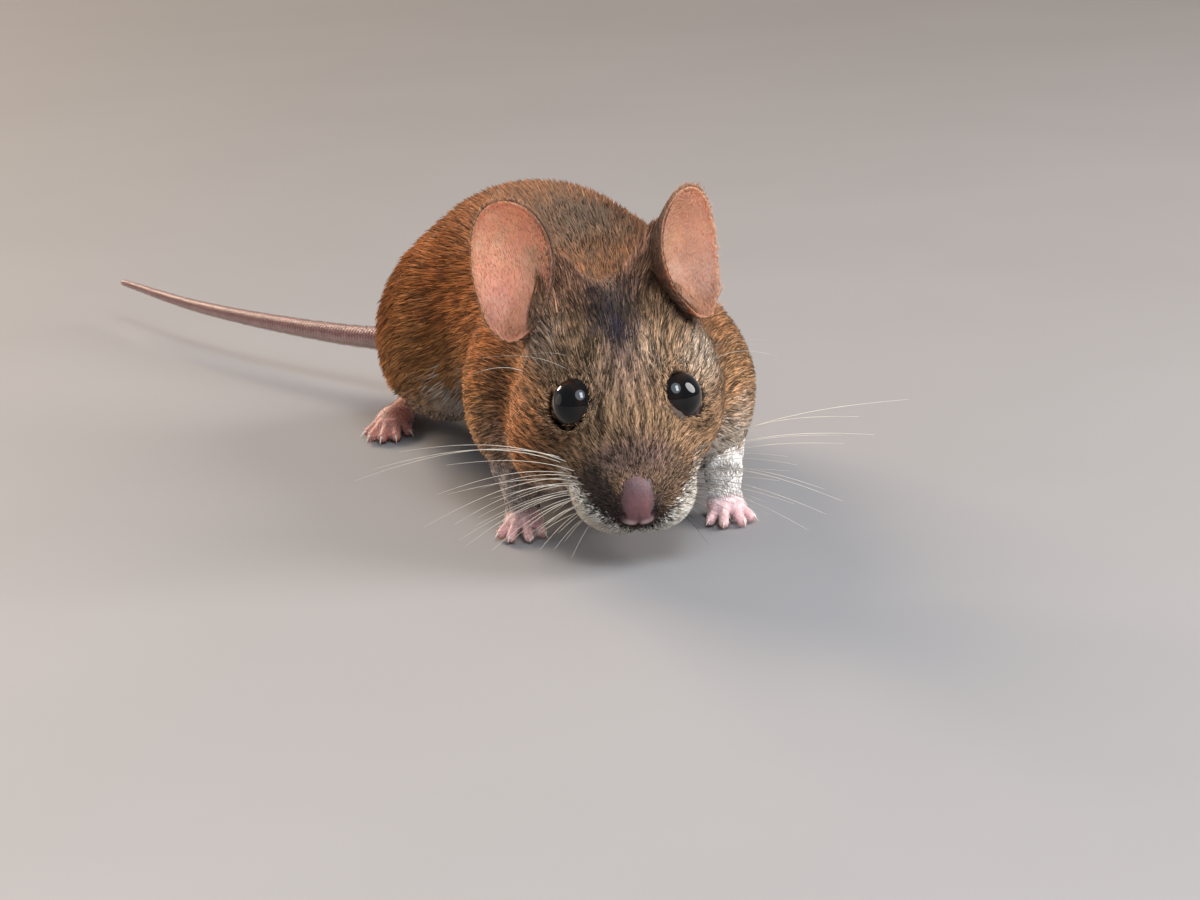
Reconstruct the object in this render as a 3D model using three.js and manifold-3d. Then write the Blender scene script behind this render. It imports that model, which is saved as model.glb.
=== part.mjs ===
// A life-size wood mouse, crouched on its four feet, its head stretched down to sniff the floor.
// Units are millimetres. +Z is up, the mouse looks towards -Y, and its own left side is +X.
// The solids show the outline of the coat, not of the bare body. The flesh is one smooth distance field.
// It is wrapped stretch by stretch along the bones, and then parted by thin cuts at the joints.
import * as THREE from "three";
import { mergeVertices } from "three/addons/utils/BufferGeometryUtils.js";
import Module from "manifold-3d";

const wasm = await Module();
wasm.setup();

// ---------- driving sizes ----------
const GAP = 0.3; // width of every cut between two pieces
const EYE_HEIGHT = 17; // the eyes above the floor
const HEAD_PITCH = 26; // degrees that the nose points down
const HEAD_YAW = 3.2; // degrees that the nose points to the mouse's left
const EYE_RADIUS = 2.9;
const EYE_SPACING = 10.2; // between the two eyeball centres
const EAR_THICKNESS = 0.8; // through the middle of the dish; its steep rim measures about 0.5
const TAIL_BASE_RADIUS = 1.9;
const TAIL_TIP_RADIUS = 0.45;
const WHISKER_RADIUS = 0.36; // to the corners of the square bar that stands for a few fine hairs

const FUR_BROWN = new THREE.MeshStandardMaterial({ color: 0x8a6038, roughness: 0.85 });
const FUR_PALE = new THREE.MeshStandardMaterial({ color: 0xd9cdb8, roughness: 0.85 });
const BARE_PINK = new THREE.MeshStandardMaterial({ color: 0xd9a39a, roughness: 0.6 });
const EAR_SKIN = new THREE.MeshStandardMaterial({ color: 0xd08d6d, roughness: 0.6 });
const TAIL_SKIN = new THREE.MeshStandardMaterial({ color: 0xa8736c, roughness: 0.65 });
const EYE_BLACK = new THREE.MeshStandardMaterial({ color: 0x050505, roughness: 0.05 });

const v = (x, y, z) => new THREE.Vector3(x, y, z);
const radians = THREE.MathUtils.degToRad;
const lerp = THREE.MathUtils.lerp;

// ---------- frames of reference ----------
function frame(at, { yaw = 0, pitch = 0, roll = 0 } = {}, parent = null) {
  const turn = new THREE.Euler(radians(pitch), radians(roll), radians(yaw), "ZYX");
  const made = new THREE.Matrix4().makeRotationFromEuler(turn).setPosition(at);
  return parent ? parent.clone().multiply(made) : made;
}
const HEAD = frame(v(3.1, 0, EYE_HEIGHT), { yaw: HEAD_YAW, pitch: HEAD_PITCH });
const inHead = (x, y, z) => v(x, y, z).applyMatrix4(HEAD);

// ---------- distance fields: negative inside, positive outside ----------
function ellipsoid(at, radii, turn = {}) {
  const inverse = frame(at, turn).invert();
  const scaled = v(0, 0, 0);
  return (point) => {
    const p = point.clone().applyMatrix4(inverse);
    const near = scaled.set(p.x / radii.x, p.y / radii.y, p.z / radii.z).length();
    const slope = scaled.set(p.x / radii.x ** 2, p.y / radii.y ** 2, p.z / radii.z ** 2).length();
    return slope < 1e-9 ? -Math.min(radii.x, radii.y, radii.z) : (near * (near - 1)) / slope;
  };
}

// A bone with round ends and a radius that changes evenly from one end to the other.
function taper(a, radiusA, b, radiusB) {
  const along = b.clone().sub(a);
  const squared = along.lengthSq();
  return (point) => {
    const t = THREE.MathUtils.clamp(point.clone().sub(a).dot(along) / squared, 0, 1);
    return point.distanceTo(a.clone().addScaledVector(along, t)) - lerp(radiusA, radiusB, t);
  };
}

const mirrored = (field) => (p) => Math.min(field(p), field(v(-p.x, p.y, p.z)));

// Joins fields with a fillet of about the given size.
function blend(size, ...fields) {
  return (point) =>
    fields
      .map((field) => field(point))
      .reduce((a, b) => {
        const h = Math.max(size - Math.abs(a - b), 0) / size;
        return Math.min(a, b) - (h * h * size) / 4;
      });
}

function placed(matrix, field) {
  const inverse = matrix.clone().invert();
  return (point) => field(point.clone().applyMatrix4(inverse));
}

// ---------- the flesh ----------
function headField() {
  const cranium = ellipsoid(v(0, 7.0, -0.6), v(8.6, 9.5, 7.6));
  const brow = ellipsoid(v(0, 0.2, -0.3), v(4.8, 6.5, 4.4), { pitch: 12 });
  const cheeks = mirrored(ellipsoid(v(4.9, 4.5, -3.9), v(5.7, 7.4, 5.4)));
  const rightJowl = ellipsoid(v(-6.4, 4.6, -5.0), v(5.2, 5.4, 5.0)); // pressed out by the bend of the neck
  const leftJowl = ellipsoid(v(5.0, 4.2, -4.4), v(4.7, 6.2, 5.0));
  const snout = taper(v(0, -0.5, -3.0), 5.4, v(0, -8.8, -4.6), 3.3);
  const flanks = mirrored(taper(v(3.6, 1.0, -5.2), 4.8, v(2.6, -6.6, -5.8), 3.3));
  const pads = mirrored(ellipsoid(v(2.6, -8.2, -6.2), v(3.4, 3.7, 3.2)));
  const tip = ellipsoid(v(0, -10.9, -5.0), v(1.9, 1.9, 2.0));
  const jaw = taper(v(0, -7.8, -8.0), 1.8, v(0, 2.0, -6.8), 4.2);
  const throat = ellipsoid(v(0, 8.0, -4.8), v(8.0, 8.5, 6.0));
  const skull = blend(4, cranium, brow, cheeks, rightJowl, leftJowl, snout, flanks, jaw, throat);
  return placed(HEAD, blend(1.6, skull, pads, tip));
}

// The low swellings of fur in front of the ears' inner edges.
const earTufts = blend(
  1.6,
  taper(v(-4.6, 4.8, 20.5), 3.0, v(-5.0, 4.8, 27.0), 1.1),
  taper(v(7.2, 5.3, 21.5), 2.8, v(8.1, 4.8, 27.2), 1.1),
);

function bodyField() {
  const neck = taper(v(2.6, 9, 17.0), 8.3, v(1.8, 19, 16.0), 10.6);
  const chest = ellipsoid(v(1.2, 24, 15.4), v(13.2, 15, 11.8));
  const loin = ellipsoid(v(-1.4, 38, 17.0), v(14.0, 16, 13.6), { yaw: 10 });
  const rump = ellipsoid(v(-6.3, 54, 17.2), v(15.6, 18.2, 14.8), { yaw: 22 });
  const tailHead = taper(v(-12.4, 65, 12.2), 7.0, v(-19.6, 74.8, 8.9), 2.0);
  const breast = ellipsoid(v(-4.4, 7.5, 10.0), v(5.0, 6.0, 4.4)); // thick fur under the right cheek
  return blend(7, blend(3, neck, breast), chest, loin, rump, tailHead);
}

const SHOULDERS = {
  right: { at: v(-8.3, 20.5, 13.0), size: v(6.6, 9.2, 8.8), turn: { yaw: -4, pitch: 18 } },
  left: { at: v(11.0, 20.5, 12.8), size: v(6.8, 9.2, 8.8), turn: { yaw: 6, pitch: 18 } },
};
const THIGHS = {
  right: { at: v(-18.9, 57.0, 12.8), size: v(7.4, 13, 10.4), turn: { yaw: 18, pitch: -24 } },
  left: { at: v(6.8, 52.5, 12.6), size: v(7.4, 13, 10.4), turn: { yaw: 22, pitch: -24 } },
};
const muscle = ({ at, size, turn }) => ellipsoid(at, size, turn);

const head = blend(1.6, headField(), earTufts);
const flesh = blend(
  5,
  head,
  bodyField(),
  ...[SHOULDERS.right, SHOULDERS.left, THIGHS.right, THIGHS.left].map(muscle),
);

// ---------- wrapping a field ----------
const STRIDE = 0.4; // the steps in which a ray looks for the surface
const REACH = 40; // the longest ray
const HALVINGS = 14;

// Where a ray from inside the field first meets the level.
function surfacePoint(field, level, centre, direction) {
  const at = (distance) => centre.clone().addScaledVector(direction, distance);
  const inside = (distance) => field(at(distance)) < level;
  let near = 0;
  let far = STRIDE;
  while (inside(far) && far < REACH) {
    near = far;
    far += STRIDE;
  }
  for (let i = 0; i < HALVINGS; i++) {
    const middle = (near + far) / 2;
    if (inside(middle)) near = middle;
    else far = middle;
  }
  return at(near);
}

// The directions round a curve in a full turn, each tilted towards the curve's end by the same angle.
function spokes(curve, at, tilt, sides) {
  const along = curve.getTangentAt(at);
  const side = v(1, 0, 0).addScaledVector(along, -along.x).normalize();
  const up = along.clone().cross(side);
  return Array.from({ length: sides }, (_, j) => {
    const angle = (2 * Math.PI * j) / sides;
    const outward = side.clone().multiplyScalar(Math.cos(angle)).addScaledVector(up, Math.sin(angle));
    return outward.multiplyScalar(Math.cos(tilt)).addScaledVector(along, Math.sin(tilt));
  });
}

// The triangles that close a stack of rings, with one point beyond each end.
function stackFaces(rows, sides) {
  const at = (row, column) => row * sides + (column % sides);
  const first = rows * sides;
  const last = first + 1;
  const faces = [];
  for (let j = 0; j < sides; j++) {
    for (let i = 0; i < rows - 1; i++) {
      faces.push(at(i, j), at(i, j + 1), at(i + 1, j));
      faces.push(at(i + 1, j), at(i, j + 1), at(i + 1, j + 1));
    }
    faces.push(first, at(0, j + 1), at(0, j));
    faces.push(last, at(rows - 1, j), at(rows - 1, j + 1));
  }
  return faces;
}

// Casts rays out from a line inside the field, in rings along it and in a fan round each end.
// They stop where the field reaches the level, which gives one closed surface.
function wrap(field, line, { rings, sides, fan, level = 0 }) {
  const curve = new THREE.CatmullRomCurve3(line);
  const tilts = Array.from({ length: fan }, (_, i) => radians((90 * (i + 1)) / (fan + 1)));
  const rows = [
    ...tilts.toReversed().map((tilt) => ({ at: 0, tilt: -tilt })),
    ...Array.from({ length: rings + 1 }, (_, i) => ({ at: i / rings, tilt: 0 })),
    ...tilts.map((tilt) => ({ at: 1, tilt })),
  ];
  const points = rows.flatMap(({ at, tilt }) =>
    spokes(curve, at, tilt, sides).map((way) => surfacePoint(field, level, curve.getPointAt(at), way)),
  );
  points.push(surfacePoint(field, level, curve.getPointAt(0), curve.getTangentAt(0).negate()));
  points.push(surfacePoint(field, level, curve.getPointAt(1), curve.getTangentAt(1)));
  return new THREE.BufferGeometry().setFromPoints(points).setIndex(stackFaces(rows.length, sides));
}

// ---------- solids ----------
function solid(geometry) {
  const bare = new THREE.BufferGeometry().setAttribute("position", geometry.getAttribute("position"));
  if (geometry.index) bare.setIndex(geometry.index);
  const merged = mergeVertices(bare, 1e-4);
  return new wasm.Manifold(
    new wasm.Mesh({
      numProp: 3,
      vertProperties: new Float32Array(merged.attributes.position.array),
      triVerts: new Uint32Array(merged.index.array),
    }),
  );
}

function geometryOf(piece) {
  const { numProp, vertProperties, triVerts } = piece.getMesh();
  const position = new Float32Array((vertProperties.length / numProp) * 3);
  for (let i = 0; i < position.length / 3; i++)
    position.set(vertProperties.subarray(i * numProp, i * numProp + 3), i * 3);
  return new THREE.BufferGeometry()
    .setAttribute("position", new THREE.BufferAttribute(position, 3))
    .setIndex(new THREE.BufferAttribute(new Uint32Array(triVerts), 1));
}

const union = (...pieces) => pieces.reduce((a, b) => a.add(b));

// An egg-shaped tool or piece, grown by the gap when it cuts the neighbour's seat.
function egg(at, radii, turn = {}, { grow = 0, sides = 12, parent = null } = {}) {
  const geometry = new THREE.SphereGeometry(1, sides, Math.round(sides * 0.6));
  geometry.scale(radii.x + grow, radii.y + grow, radii.z + grow);
  return solid(geometry.applyMatrix4(frame(at, turn, parent)));
}

// Everything on the far side of a plane: a block that starts at the point and runs along the direction.
const BLOCK = 400;
function beyond(point, direction, shift = 0) {
  const block = new THREE.BoxGeometry(BLOCK, BLOCK, BLOCK).translate(0, 0, BLOCK / 2 + shift);
  const turn = new THREE.Quaternion().setFromUnitVectors(v(0, 0, 1), direction.clone().normalize());
  return solid(block.applyQuaternion(turn).translate(point.x, point.y, point.z));
}

// Parts a solid in two by a thin flat cut through a point.
function part(piece, point, direction) {
  const before = piece.subtract(beyond(point, direction, -GAP / 2));
  const after = piece.intersect(beyond(point, direction, GAP / 2));
  return [before, after];
}

const FLOOR = beyond(v(0, 0, 0), v(0, 0, -1));
const standing = (piece) => piece.subtract(FLOOR);

// A round bar along a curve, with flat ends and a radius that follows from the share of its length.
function bar(line, radius, { sides, steps }) {
  const curve = new THREE.CatmullRomCurve3(line);
  const points = [];
  for (let i = 0; i <= steps; i++) {
    const t = i / steps;
    const centre = curve.getPointAt(t);
    const ways = spokes(curve, t, 0, sides);
    for (const way of ways) points.push(centre.clone().addScaledVector(way, radius(t)));
  }
  points.push(curve.getPointAt(0));
  points.push(curve.getPointAt(1));
  return solid(new THREE.BufferGeometry().setFromPoints(points).setIndex(stackFaces(steps + 1, sides)));
}

// ---------- parting the whole ----------
// Cuts an egg-shaped piece out of a solid, and gives back what is left and the piece.
function seat(whole, { at, size, turn = {} }, { parent = null, grow = 0 } = {}) {
  const piece = whole.intersect(egg(at, size, turn, { parent, grow }));
  const rest = whole.subtract(egg(at, size, turn, { parent, grow: grow + GAP }));
  return [rest, piece];
}

// The part of a solid between two cuts, less half the gap at each.
function between(whole, from, to) {
  const started = from ? whole.intersect(beyond(from[0], from[1], GAP / 2)) : whole;
  return to ? started.subtract(beyond(to[0], to[1], -GAP / 2)) : started;
}

const group = new THREE.Group();
group.name = "wood_mouse";
const built = [];
const keep = (name, piece, material) => built.push({ name, piece, material });

// ---------- neck and trunk ----------
// The line inside the neck and trunk from which they are wrapped, from the head to the root of the tail.
const SPINE = [
  v(3.0, 6, 16.5),
  v(1.6, 20, 15.5),
  v(0.2, 28, 15),
  v(-3.2, 40, 16),
  v(-6.6, 53, 15.5),
  v(-12.4, 64.5, 12.2),
];
const HEAD_CUT = [v(2.6, 12.6, 15), v(0, 0.93, 0.37)];
const NECK_CUT = [v(2.2, 18.2, 17), v(0, 1, 0.18)];
const CHEST_CUT = [v(0, 33, 16), v(-0.2, 1, 0)];
const RUMP_CUT = [v(-4.5, 44.5, 16), v(-0.32, 1, -0.05)];
const TAIL_CUT = [v(-18.4, 73.2, 9.4), v(-0.62, 1, -0.18)];
const TRUNK_WRAP = { rings: 13, sides: 20, fan: 3 };

let trunk = between(solid(wrap(flesh, SPINE, TRUNK_WRAP)), HEAD_CUT, TAIL_CUT);
const trunkRoom = solid(wrap(flesh, SPINE, { ...TRUNK_WRAP, level: GAP }));
const neck = between(trunk, null, NECK_CUT);
trunk = between(trunk, NECK_CUT, null);
for (const [side, shoulder] of Object.entries(SHOULDERS)) {
  const [rest, arm] = seat(trunk, shoulder, { grow: 1.2 });
  keep(`upper_arm_${side}`, arm, FUR_BROWN);
  trunk = rest;
}
for (const [side, haunch] of Object.entries(THIGHS)) {
  const [rest, thigh] = seat(trunk, haunch, { grow: 1.4 });
  keep(`thigh_${side}`, thigh, FUR_BROWN);
  trunk = rest;
}
keep("neck", neck, FUR_BROWN);
keep("chest", between(trunk, null, CHEST_CUT), FUR_BROWN);
keep("loin", between(trunk, CHEST_CUT, RUMP_CUT), FUR_BROWN);
keep("rump", between(trunk, RUMP_CUT, null), FUR_BROWN);

// ---------- head ----------
const HEAD_LINE = [inHead(0, 16, -3.6), inHead(0, 6, -1.8), inHead(0, -2, -3.6), inHead(0, -8.2, -5.4)];
const HEAD_WRAP = { rings: 11, sides: 20, fan: 3 };
const NOSE = { at: v(0, -11.2, -4.9), size: v(1.9, 1.9, 2.3), turn: { pitch: -18 } };
const JAW = { at: v(0, -4.4, -9.8), size: v(3.6, 6.6, 2.7), turn: { pitch: -14 } };
const PAD = { at: v(4.1, -6.9, -5.9), size: v(2.8, 3.7, 3.6) };
const SIDES = { right: -1, left: 1 };
const EYE = { at: v(EYE_SPACING / 2, -0.9, 0.55), size: v(EYE_RADIUS, EYE_RADIUS, EYE_RADIUS) };
const onSide = (spot, sign) => ({ ...spot, at: v(sign * spot.at.x, spot.at.y, spot.at.z) });

const headRoom = solid(wrap(flesh, HEAD_LINE, { ...HEAD_WRAP, level: GAP }));
let skull = between(solid(wrap(flesh, HEAD_LINE, HEAD_WRAP)), null, HEAD_CUT);
for (const [side, sign] of Object.entries(SIDES)) {
  const eye = onSide(EYE, sign);
  [skull] = seat(skull, eye, { parent: HEAD });
  keep(`eye_${side}`, egg(eye.at, eye.size, {}, { parent: HEAD }), EYE_BLACK);
}
let nose;
let jaw;
[skull, nose] = seat(skull, NOSE, { parent: HEAD });
[skull, jaw] = seat(skull, JAW, { parent: HEAD });
keep("nose", nose, BARE_PINK);
keep("jaw", jaw, FUR_PALE);

// A whisker leaves the pad at its root, bows along its length and ends at its tip.
function whisker(root, tip, bow) {
  const from = inHead(root.x, root.y, root.z);
  const middle = from.clone().lerp(tip, 0.5).add(v(0, 0, bow));
  return bar([from, middle, tip], () => WHISKER_RADIUS, { sides: 4, steps: 3 });
}

const WHISKERS = {
  right: [
    { root: v(-4.6, -6.4, -4.9), tip: v(-27.0, 3.5, 10.6), bow: 2.0 },
    { root: v(-4.8, -6.8, -6.2), tip: v(-20.5, 0.5, 7.0), bow: 1.8 },
    { root: v(-4.7, -7.2, -7.2), tip: v(-16.6, -2.5, 2.6), bow: 1.4 },
  ],
  left: [
    { root: v(4.6, -6.4, -4.9), tip: v(38.4, 3.5, 12.6), bow: 1.8 },
    { root: v(4.8, -6.8, -6.2), tip: v(26.8, 0.5, 6.4), bow: 1.6 },
    { root: v(4.7, -7.2, -7.2), tip: v(21.6, -2.5, 4.2), bow: 1.2 },
  ],
};
for (const [side, sign] of Object.entries(SIDES)) {
  const [rest, pad] = seat(skull, onSide(PAD, sign), { parent: HEAD });
  const room = rest.add(jaw).add(nose);
  const hairs = WHISKERS[side].map(({ root, tip, bow }) => whisker(root, tip, bow));
  keep(`whisker_pad_${side}`, union(pad, ...hairs).subtract(room), FUR_PALE);
  skull = rest;
}
keep("head", skull, FUR_BROWN);

// ---------- ears ----------
const EARS = {
  right: { base: v(-8.1, 6.3, 22.8), tip: v(-7.7, 6.5, 38.1), facing: 30, width: 5.05, cup: 3.0 },
  left: { base: v(10.8, 6.0, 24.0), tip: v(9.4, 6.6, 38.2), facing: 58, width: 5.7, cup: 3.6 },
};
// The furred root that climbs the back of each ear along its inner edge.
const EAR_BACKS = {
  right: { low: v(-2.0, 8.0, 24.5), high: v(-4.7, 8.0, 31.5), thick: [3.4, 1.1] },
  left: { low: v(4.4, 8.6, 24.2), high: v(7.6, 8.4, 33.6), thick: [3.4, 0.8] },
};

const EAR_RINGS = 3;
const EAR_SPOKES = 14;
const EAR_EGG = 0.16; // how much wider the ear is near its tip than near its base

// A point on the ear's dish, at a share of the way from its middle to its rim. The rim curls forward.
function earPoint({ base, tip, facing, width, cup }, sign, shift, share, turn) {
  const up = tip.clone().sub(base).normalize();
  const forward = v(sign * Math.sin(radians(facing)), -Math.cos(radians(facing)), 0.1);
  const normal = forward.addScaledVector(up, -forward.dot(up)).normalize();
  const across = up.clone().cross(normal);
  const height = Math.sin(turn) * share;
  const half = width * (1 + EAR_EGG * height) * Math.cos(turn) * share;
  const deep = cup * (share * share - 0.72) * (1 - 0.25 * height) + 0.9 * height * height;
  return base
    .clone()
    .lerp(tip, 0.5 + height / 2)
    .addScaledVector(across, half)
    .addScaledVector(normal, deep + shift);
}

// The two faces of the dish, front and back, stitched together round the rim.
function ear(shape, sign) {
  const points = [];
  const faces = [];
  for (const shift of [EAR_THICKNESS / 2, -EAR_THICKNESS / 2]) {
    points.push(earPoint(shape, sign, shift, 0, 0));
    for (let i = 1; i <= EAR_RINGS; i++)
      for (let j = 0; j < EAR_SPOKES; j++)
        points.push(earPoint(shape, sign, shift, i / EAR_RINGS, (2 * Math.PI * j) / EAR_SPOKES));
  }
  const size = 1 + EAR_RINGS * EAR_SPOKES;
  const at = (shell, ring, spoke) =>
    shell * size + (ring === 0 ? 0 : 1 + (ring - 1) * EAR_SPOKES + (spoke % EAR_SPOKES));
  const triangle = (shell, a, b, c) => faces.push(...(shell ? [a, c, b] : [a, b, c]));
  for (const shell of [0, 1])
    for (let j = 0; j < EAR_SPOKES; j++) {
      triangle(shell, at(shell, 0, 0), at(shell, 1, j), at(shell, 1, j + 1));
      for (let i = 1; i < EAR_RINGS; i++) {
        triangle(shell, at(shell, i, j), at(shell, i + 1, j), at(shell, i + 1, j + 1));
        triangle(shell, at(shell, i, j), at(shell, i + 1, j + 1), at(shell, i, j + 1));
      }
    }
  for (let j = 0; j < EAR_SPOKES; j++) {
    faces.push(at(0, EAR_RINGS, j), at(1, EAR_RINGS, j), at(1, EAR_RINGS, j + 1));
    faces.push(at(0, EAR_RINGS, j), at(1, EAR_RINGS, j + 1), at(0, EAR_RINGS, j + 1));
  }
  return solid(new THREE.BufferGeometry().setFromPoints(points).setIndex(faces));
}
for (const [side, sign] of Object.entries(SIDES)) {
  const { low, high, thick } = EAR_BACKS[side];
  const root = bar([low, high], (t) => lerp(thick[0], thick[1], t), { sides: 6, steps: 2 });
  const pinna = ear(EARS[side], sign).add(root).subtract(headRoom).subtract(trunkRoom);
  keep(`ear_${side}`, pinna, EAR_SKIN);
}

// ---------- legs ----------
// A toe runs out from the ball of the foot along the floor, arched at the knuckle.
function toe(ball, yaw, length, radius) {
  const forward = v(Math.sin(radians(yaw)), -Math.cos(radians(yaw)), 0);
  const along = (distance, height) => ball.clone().addScaledVector(forward, distance).setZ(height);
  const points = [along(0, 1.3), along(length * 0.55, 1.25), along(length, radius * 0.8)];
  return bar(points, (t) => radius * (1 - 0.3 * t), { sides: 5, steps: 2 });
}

// ball is the middle of the pad behind the toes, and yaw is where the foot points, 0 being straight ahead.
const FORE_LEGS = {
  right: { elbow: v(-9.8, 20.5, 7.2), wrist: v(-9.0, 13.4, 4.2), ball: v(-8.9, 11.2, 1.3), yaw: -6 },
  left: { elbow: v(13.2, 21.0, 8.4), wrist: v(13.6, 14.4, 4.8), ball: v(13.6, 12.2, 1.3), yaw: 6 },
};
const FORE_TOES = [
  { turn: -36, length: 4.0 },
  { turn: -12, length: 4.9 },
  { turn: 13, length: 4.9 },
  { turn: 38, length: 4.0 },
];
const HIND_LEGS = {
  right: { knee: v(-18.5, 52, 9.0), heel: v(-23.4, 72.0, 3.6), ball: v(-25.6, 62.6, 1.5), yaw: -12 },
  left: { knee: v(6.5, 46, 9.0), heel: v(4.6, 68.0, 3.6), ball: v(6.8, 58.0, 1.5), yaw: 10 },
};
const HIND_TOES = [
  { turn: -40, length: 4.2 },
  { turn: -16, length: 6.0 },
  { turn: 0, length: 6.4 },
  { turn: 16, length: 6.0 },
  { turn: 42, length: 3.8 },
];

function foreLeg({ elbow, wrist, ball, yaw }) {
  const bones = blend(1.5, taper(elbow, 3.6, wrist, 1.9), taper(wrist, 1.8, ball, 1.5));
  const arm = solid(wrap(bones, [elbow, wrist, ball], { rings: 5, sides: 8, fan: 1 }));
  const palm = egg(ball, v(2.3, 2.5, 1.5), { yaw }, { sides: 8 });
  const toes = FORE_TOES.map(({ turn, length }) => toe(ball, yaw + turn, length, 0.68));
  return part(standing(union(arm, palm, ...toes)), wrist, ball.clone().sub(elbow));
}

function hindLeg({ knee, heel, ball, yaw }) {
  const hock = heel.clone().add(v(0, 0, 1.2));
  const shin = taper(knee, 4.6, hock, 2.0);
  const shank = solid(wrap(shin, [knee, hock], { rings: 4, sides: 8, fan: 1 }));
  const sole = taper(heel.clone().setZ(1.6), 1.9, ball, 1.7);
  const foot = solid(wrap(sole, [heel.clone().setZ(1.6), ball], { rings: 4, sides: 8, fan: 1 }));
  const toes = HIND_TOES.map(({ turn, length }) => toe(ball, yaw + turn, length, 0.72));
  const ankle = [heel, v(0, 0.1, -1)];
  const whole = standing(union(shank, foot, ...toes));
  return part(whole, ...ankle);
}

const legRoom = trunkRoom.add(headRoom);

// What is left of a leg outside the trunk, without the slivers that the trunk's facets cut loose.
function outside(piece) {
  const bodies = piece.subtract(legRoom).decompose();
  return bodies.reduce((a, b) => (a.volume() > b.volume() ? a : b));
}
for (const side of Object.keys(SIDES)) {
  const [forearm, forepaw] = foreLeg(FORE_LEGS[side]);
  keep(`forearm_${side}`, outside(forearm), FUR_BROWN);
  keep(`forepaw_${side}`, outside(forepaw), BARE_PINK);
  const [shank, hindFoot] = hindLeg(HIND_LEGS[side]);
  keep(`shank_${side}`, outside(shank), FUR_BROWN);
  keep(`hind_foot_${side}`, outside(hindFoot), BARE_PINK);
}

// ---------- tail ----------
const TAIL = [
  v(-15.0, 68.5, 9.8),
  v(-19.2, 74.5, 8.8),
  v(-29, 85, 7.4),
  v(-42, 100, 6.8),
  v(-56, 119, 6.4),
  v(-69, 141, 6.2),
];
const TAIL_PIECES = 4;
const tailRadius = (t) => lerp(TAIL_BASE_RADIUS, TAIL_TIP_RADIUS, Math.pow(t, 0.85));
const tailCurve = new THREE.CatmullRomCurve3(TAIL);
const wholeTail = bar(TAIL, tailRadius, { sides: 8, steps: 17 }).subtract(trunkRoom);

// The cut between one length of the tail and the next, or none at the root and the tip.
function tailCut(i) {
  const t = i / TAIL_PIECES;
  return t > 0 && t < 1 ? [tailCurve.getPointAt(t), tailCurve.getTangentAt(t)] : null;
}
for (let i = 0; i < TAIL_PIECES; i++)
  keep(`tail_${i + 1}`, between(wholeTail, tailCut(i), tailCut(i + 1)), TAIL_SKIN);

// ---------- the part's own frame: the middle of the bounding box, on the floor ----------
for (const { name, piece, material } of built) {
  const mesh = new THREE.Mesh(geometryOf(piece), material.clone());
  mesh.name = name;
  group.add(mesh);
}
const box = new THREE.Box3().setFromObject(group);
const middle = box.getCenter(v(0, 0, 0));
for (const mesh of group.children) mesh.geometry.translate(-middle.x, -middle.y, -box.min.z);

export default group;
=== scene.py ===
"""A life-size wood mouse, crouched on its four feet, its head stretched down to sniff the floor.

One skin is grown over forms of flesh and bone, set in the frame by the two eyes. The coat is a great many
thin solid tufts that start on that skin and lie along it. Eyes, claws and whiskers are pieces of their own.
Working units are millimetres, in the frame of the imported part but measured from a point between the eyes.
"""
import math

import bpy
import numpy as np
from mathutils import Matrix, Vector


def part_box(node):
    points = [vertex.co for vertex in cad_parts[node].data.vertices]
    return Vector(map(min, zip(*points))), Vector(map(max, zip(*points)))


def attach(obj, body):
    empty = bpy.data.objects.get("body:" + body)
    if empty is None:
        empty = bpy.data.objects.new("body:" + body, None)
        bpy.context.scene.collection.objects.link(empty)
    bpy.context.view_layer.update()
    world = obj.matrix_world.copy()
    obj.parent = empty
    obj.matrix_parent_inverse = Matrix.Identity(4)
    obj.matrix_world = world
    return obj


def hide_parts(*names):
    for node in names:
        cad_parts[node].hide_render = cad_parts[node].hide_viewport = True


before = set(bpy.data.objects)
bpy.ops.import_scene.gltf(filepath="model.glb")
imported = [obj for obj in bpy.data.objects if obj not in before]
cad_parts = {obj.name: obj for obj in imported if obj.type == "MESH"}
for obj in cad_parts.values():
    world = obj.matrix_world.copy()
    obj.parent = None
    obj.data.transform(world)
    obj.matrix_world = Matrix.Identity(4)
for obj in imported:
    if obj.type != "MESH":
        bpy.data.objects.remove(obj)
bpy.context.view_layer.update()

MM = 0.001
SEED = 20
EYES = ("eye_right", "eye_left")
SIDES = {"right": -1.0, "left": 1.0}


def middle(node):
    low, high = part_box(node)
    return (np.array(low) + np.array(high)) / 2 / MM


# ---------- the working frame ----------
EYE_MIDDLE = np.array([3.159, -1.048, 17.100])  # where the working frame has the point between the eyes
HOME = (middle("eye_right") + middle("eye_left")) / 2 - EYE_MIDDLE  # the working frame's own place
HEAD_PITCH = 26.0
HEAD_YAW = 3.2
HEAD_AT = np.array([3.1, 0.0, 17.0])


def turned(yaw=0.0, pitch=0.0, roll=0.0):
    """The 3x3 turn that rolls about Y, pitches about X and yaws about Z, in that order."""
    about = (("Z", yaw), ("Y", roll), ("X", pitch))
    total = Matrix.Identity(3)
    for axis, degrees in about:
        total = total @ Matrix.Rotation(math.radians(degrees), 3, axis)
    return np.array(total)


HEAD_TURN = turned(HEAD_YAW, HEAD_PITCH)


def in_head(x, y, z):
    """A place given in the head's own axes: x to its left, y back from the eyes, z up through the crown."""
    return HEAD_TURN @ np.array([x, y, z], float) + HEAD_AT


def head_axes(points):
    """The same the other way: working places in the head's own axes."""
    return (points - HEAD_AT) @ HEAD_TURN


def unit(vectors):
    return vectors / np.maximum(np.linalg.norm(vectors, axis=-1, keepdims=True), 1e-9)


def dot(a, b):
    return np.einsum("ij,ij->i", a, b)


def ramp(values, *stops):
    """Straight lines through the stops, each a pair of input and output."""
    return np.interp(values, [s[0] for s in stops], [s[1] for s in stops])


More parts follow.
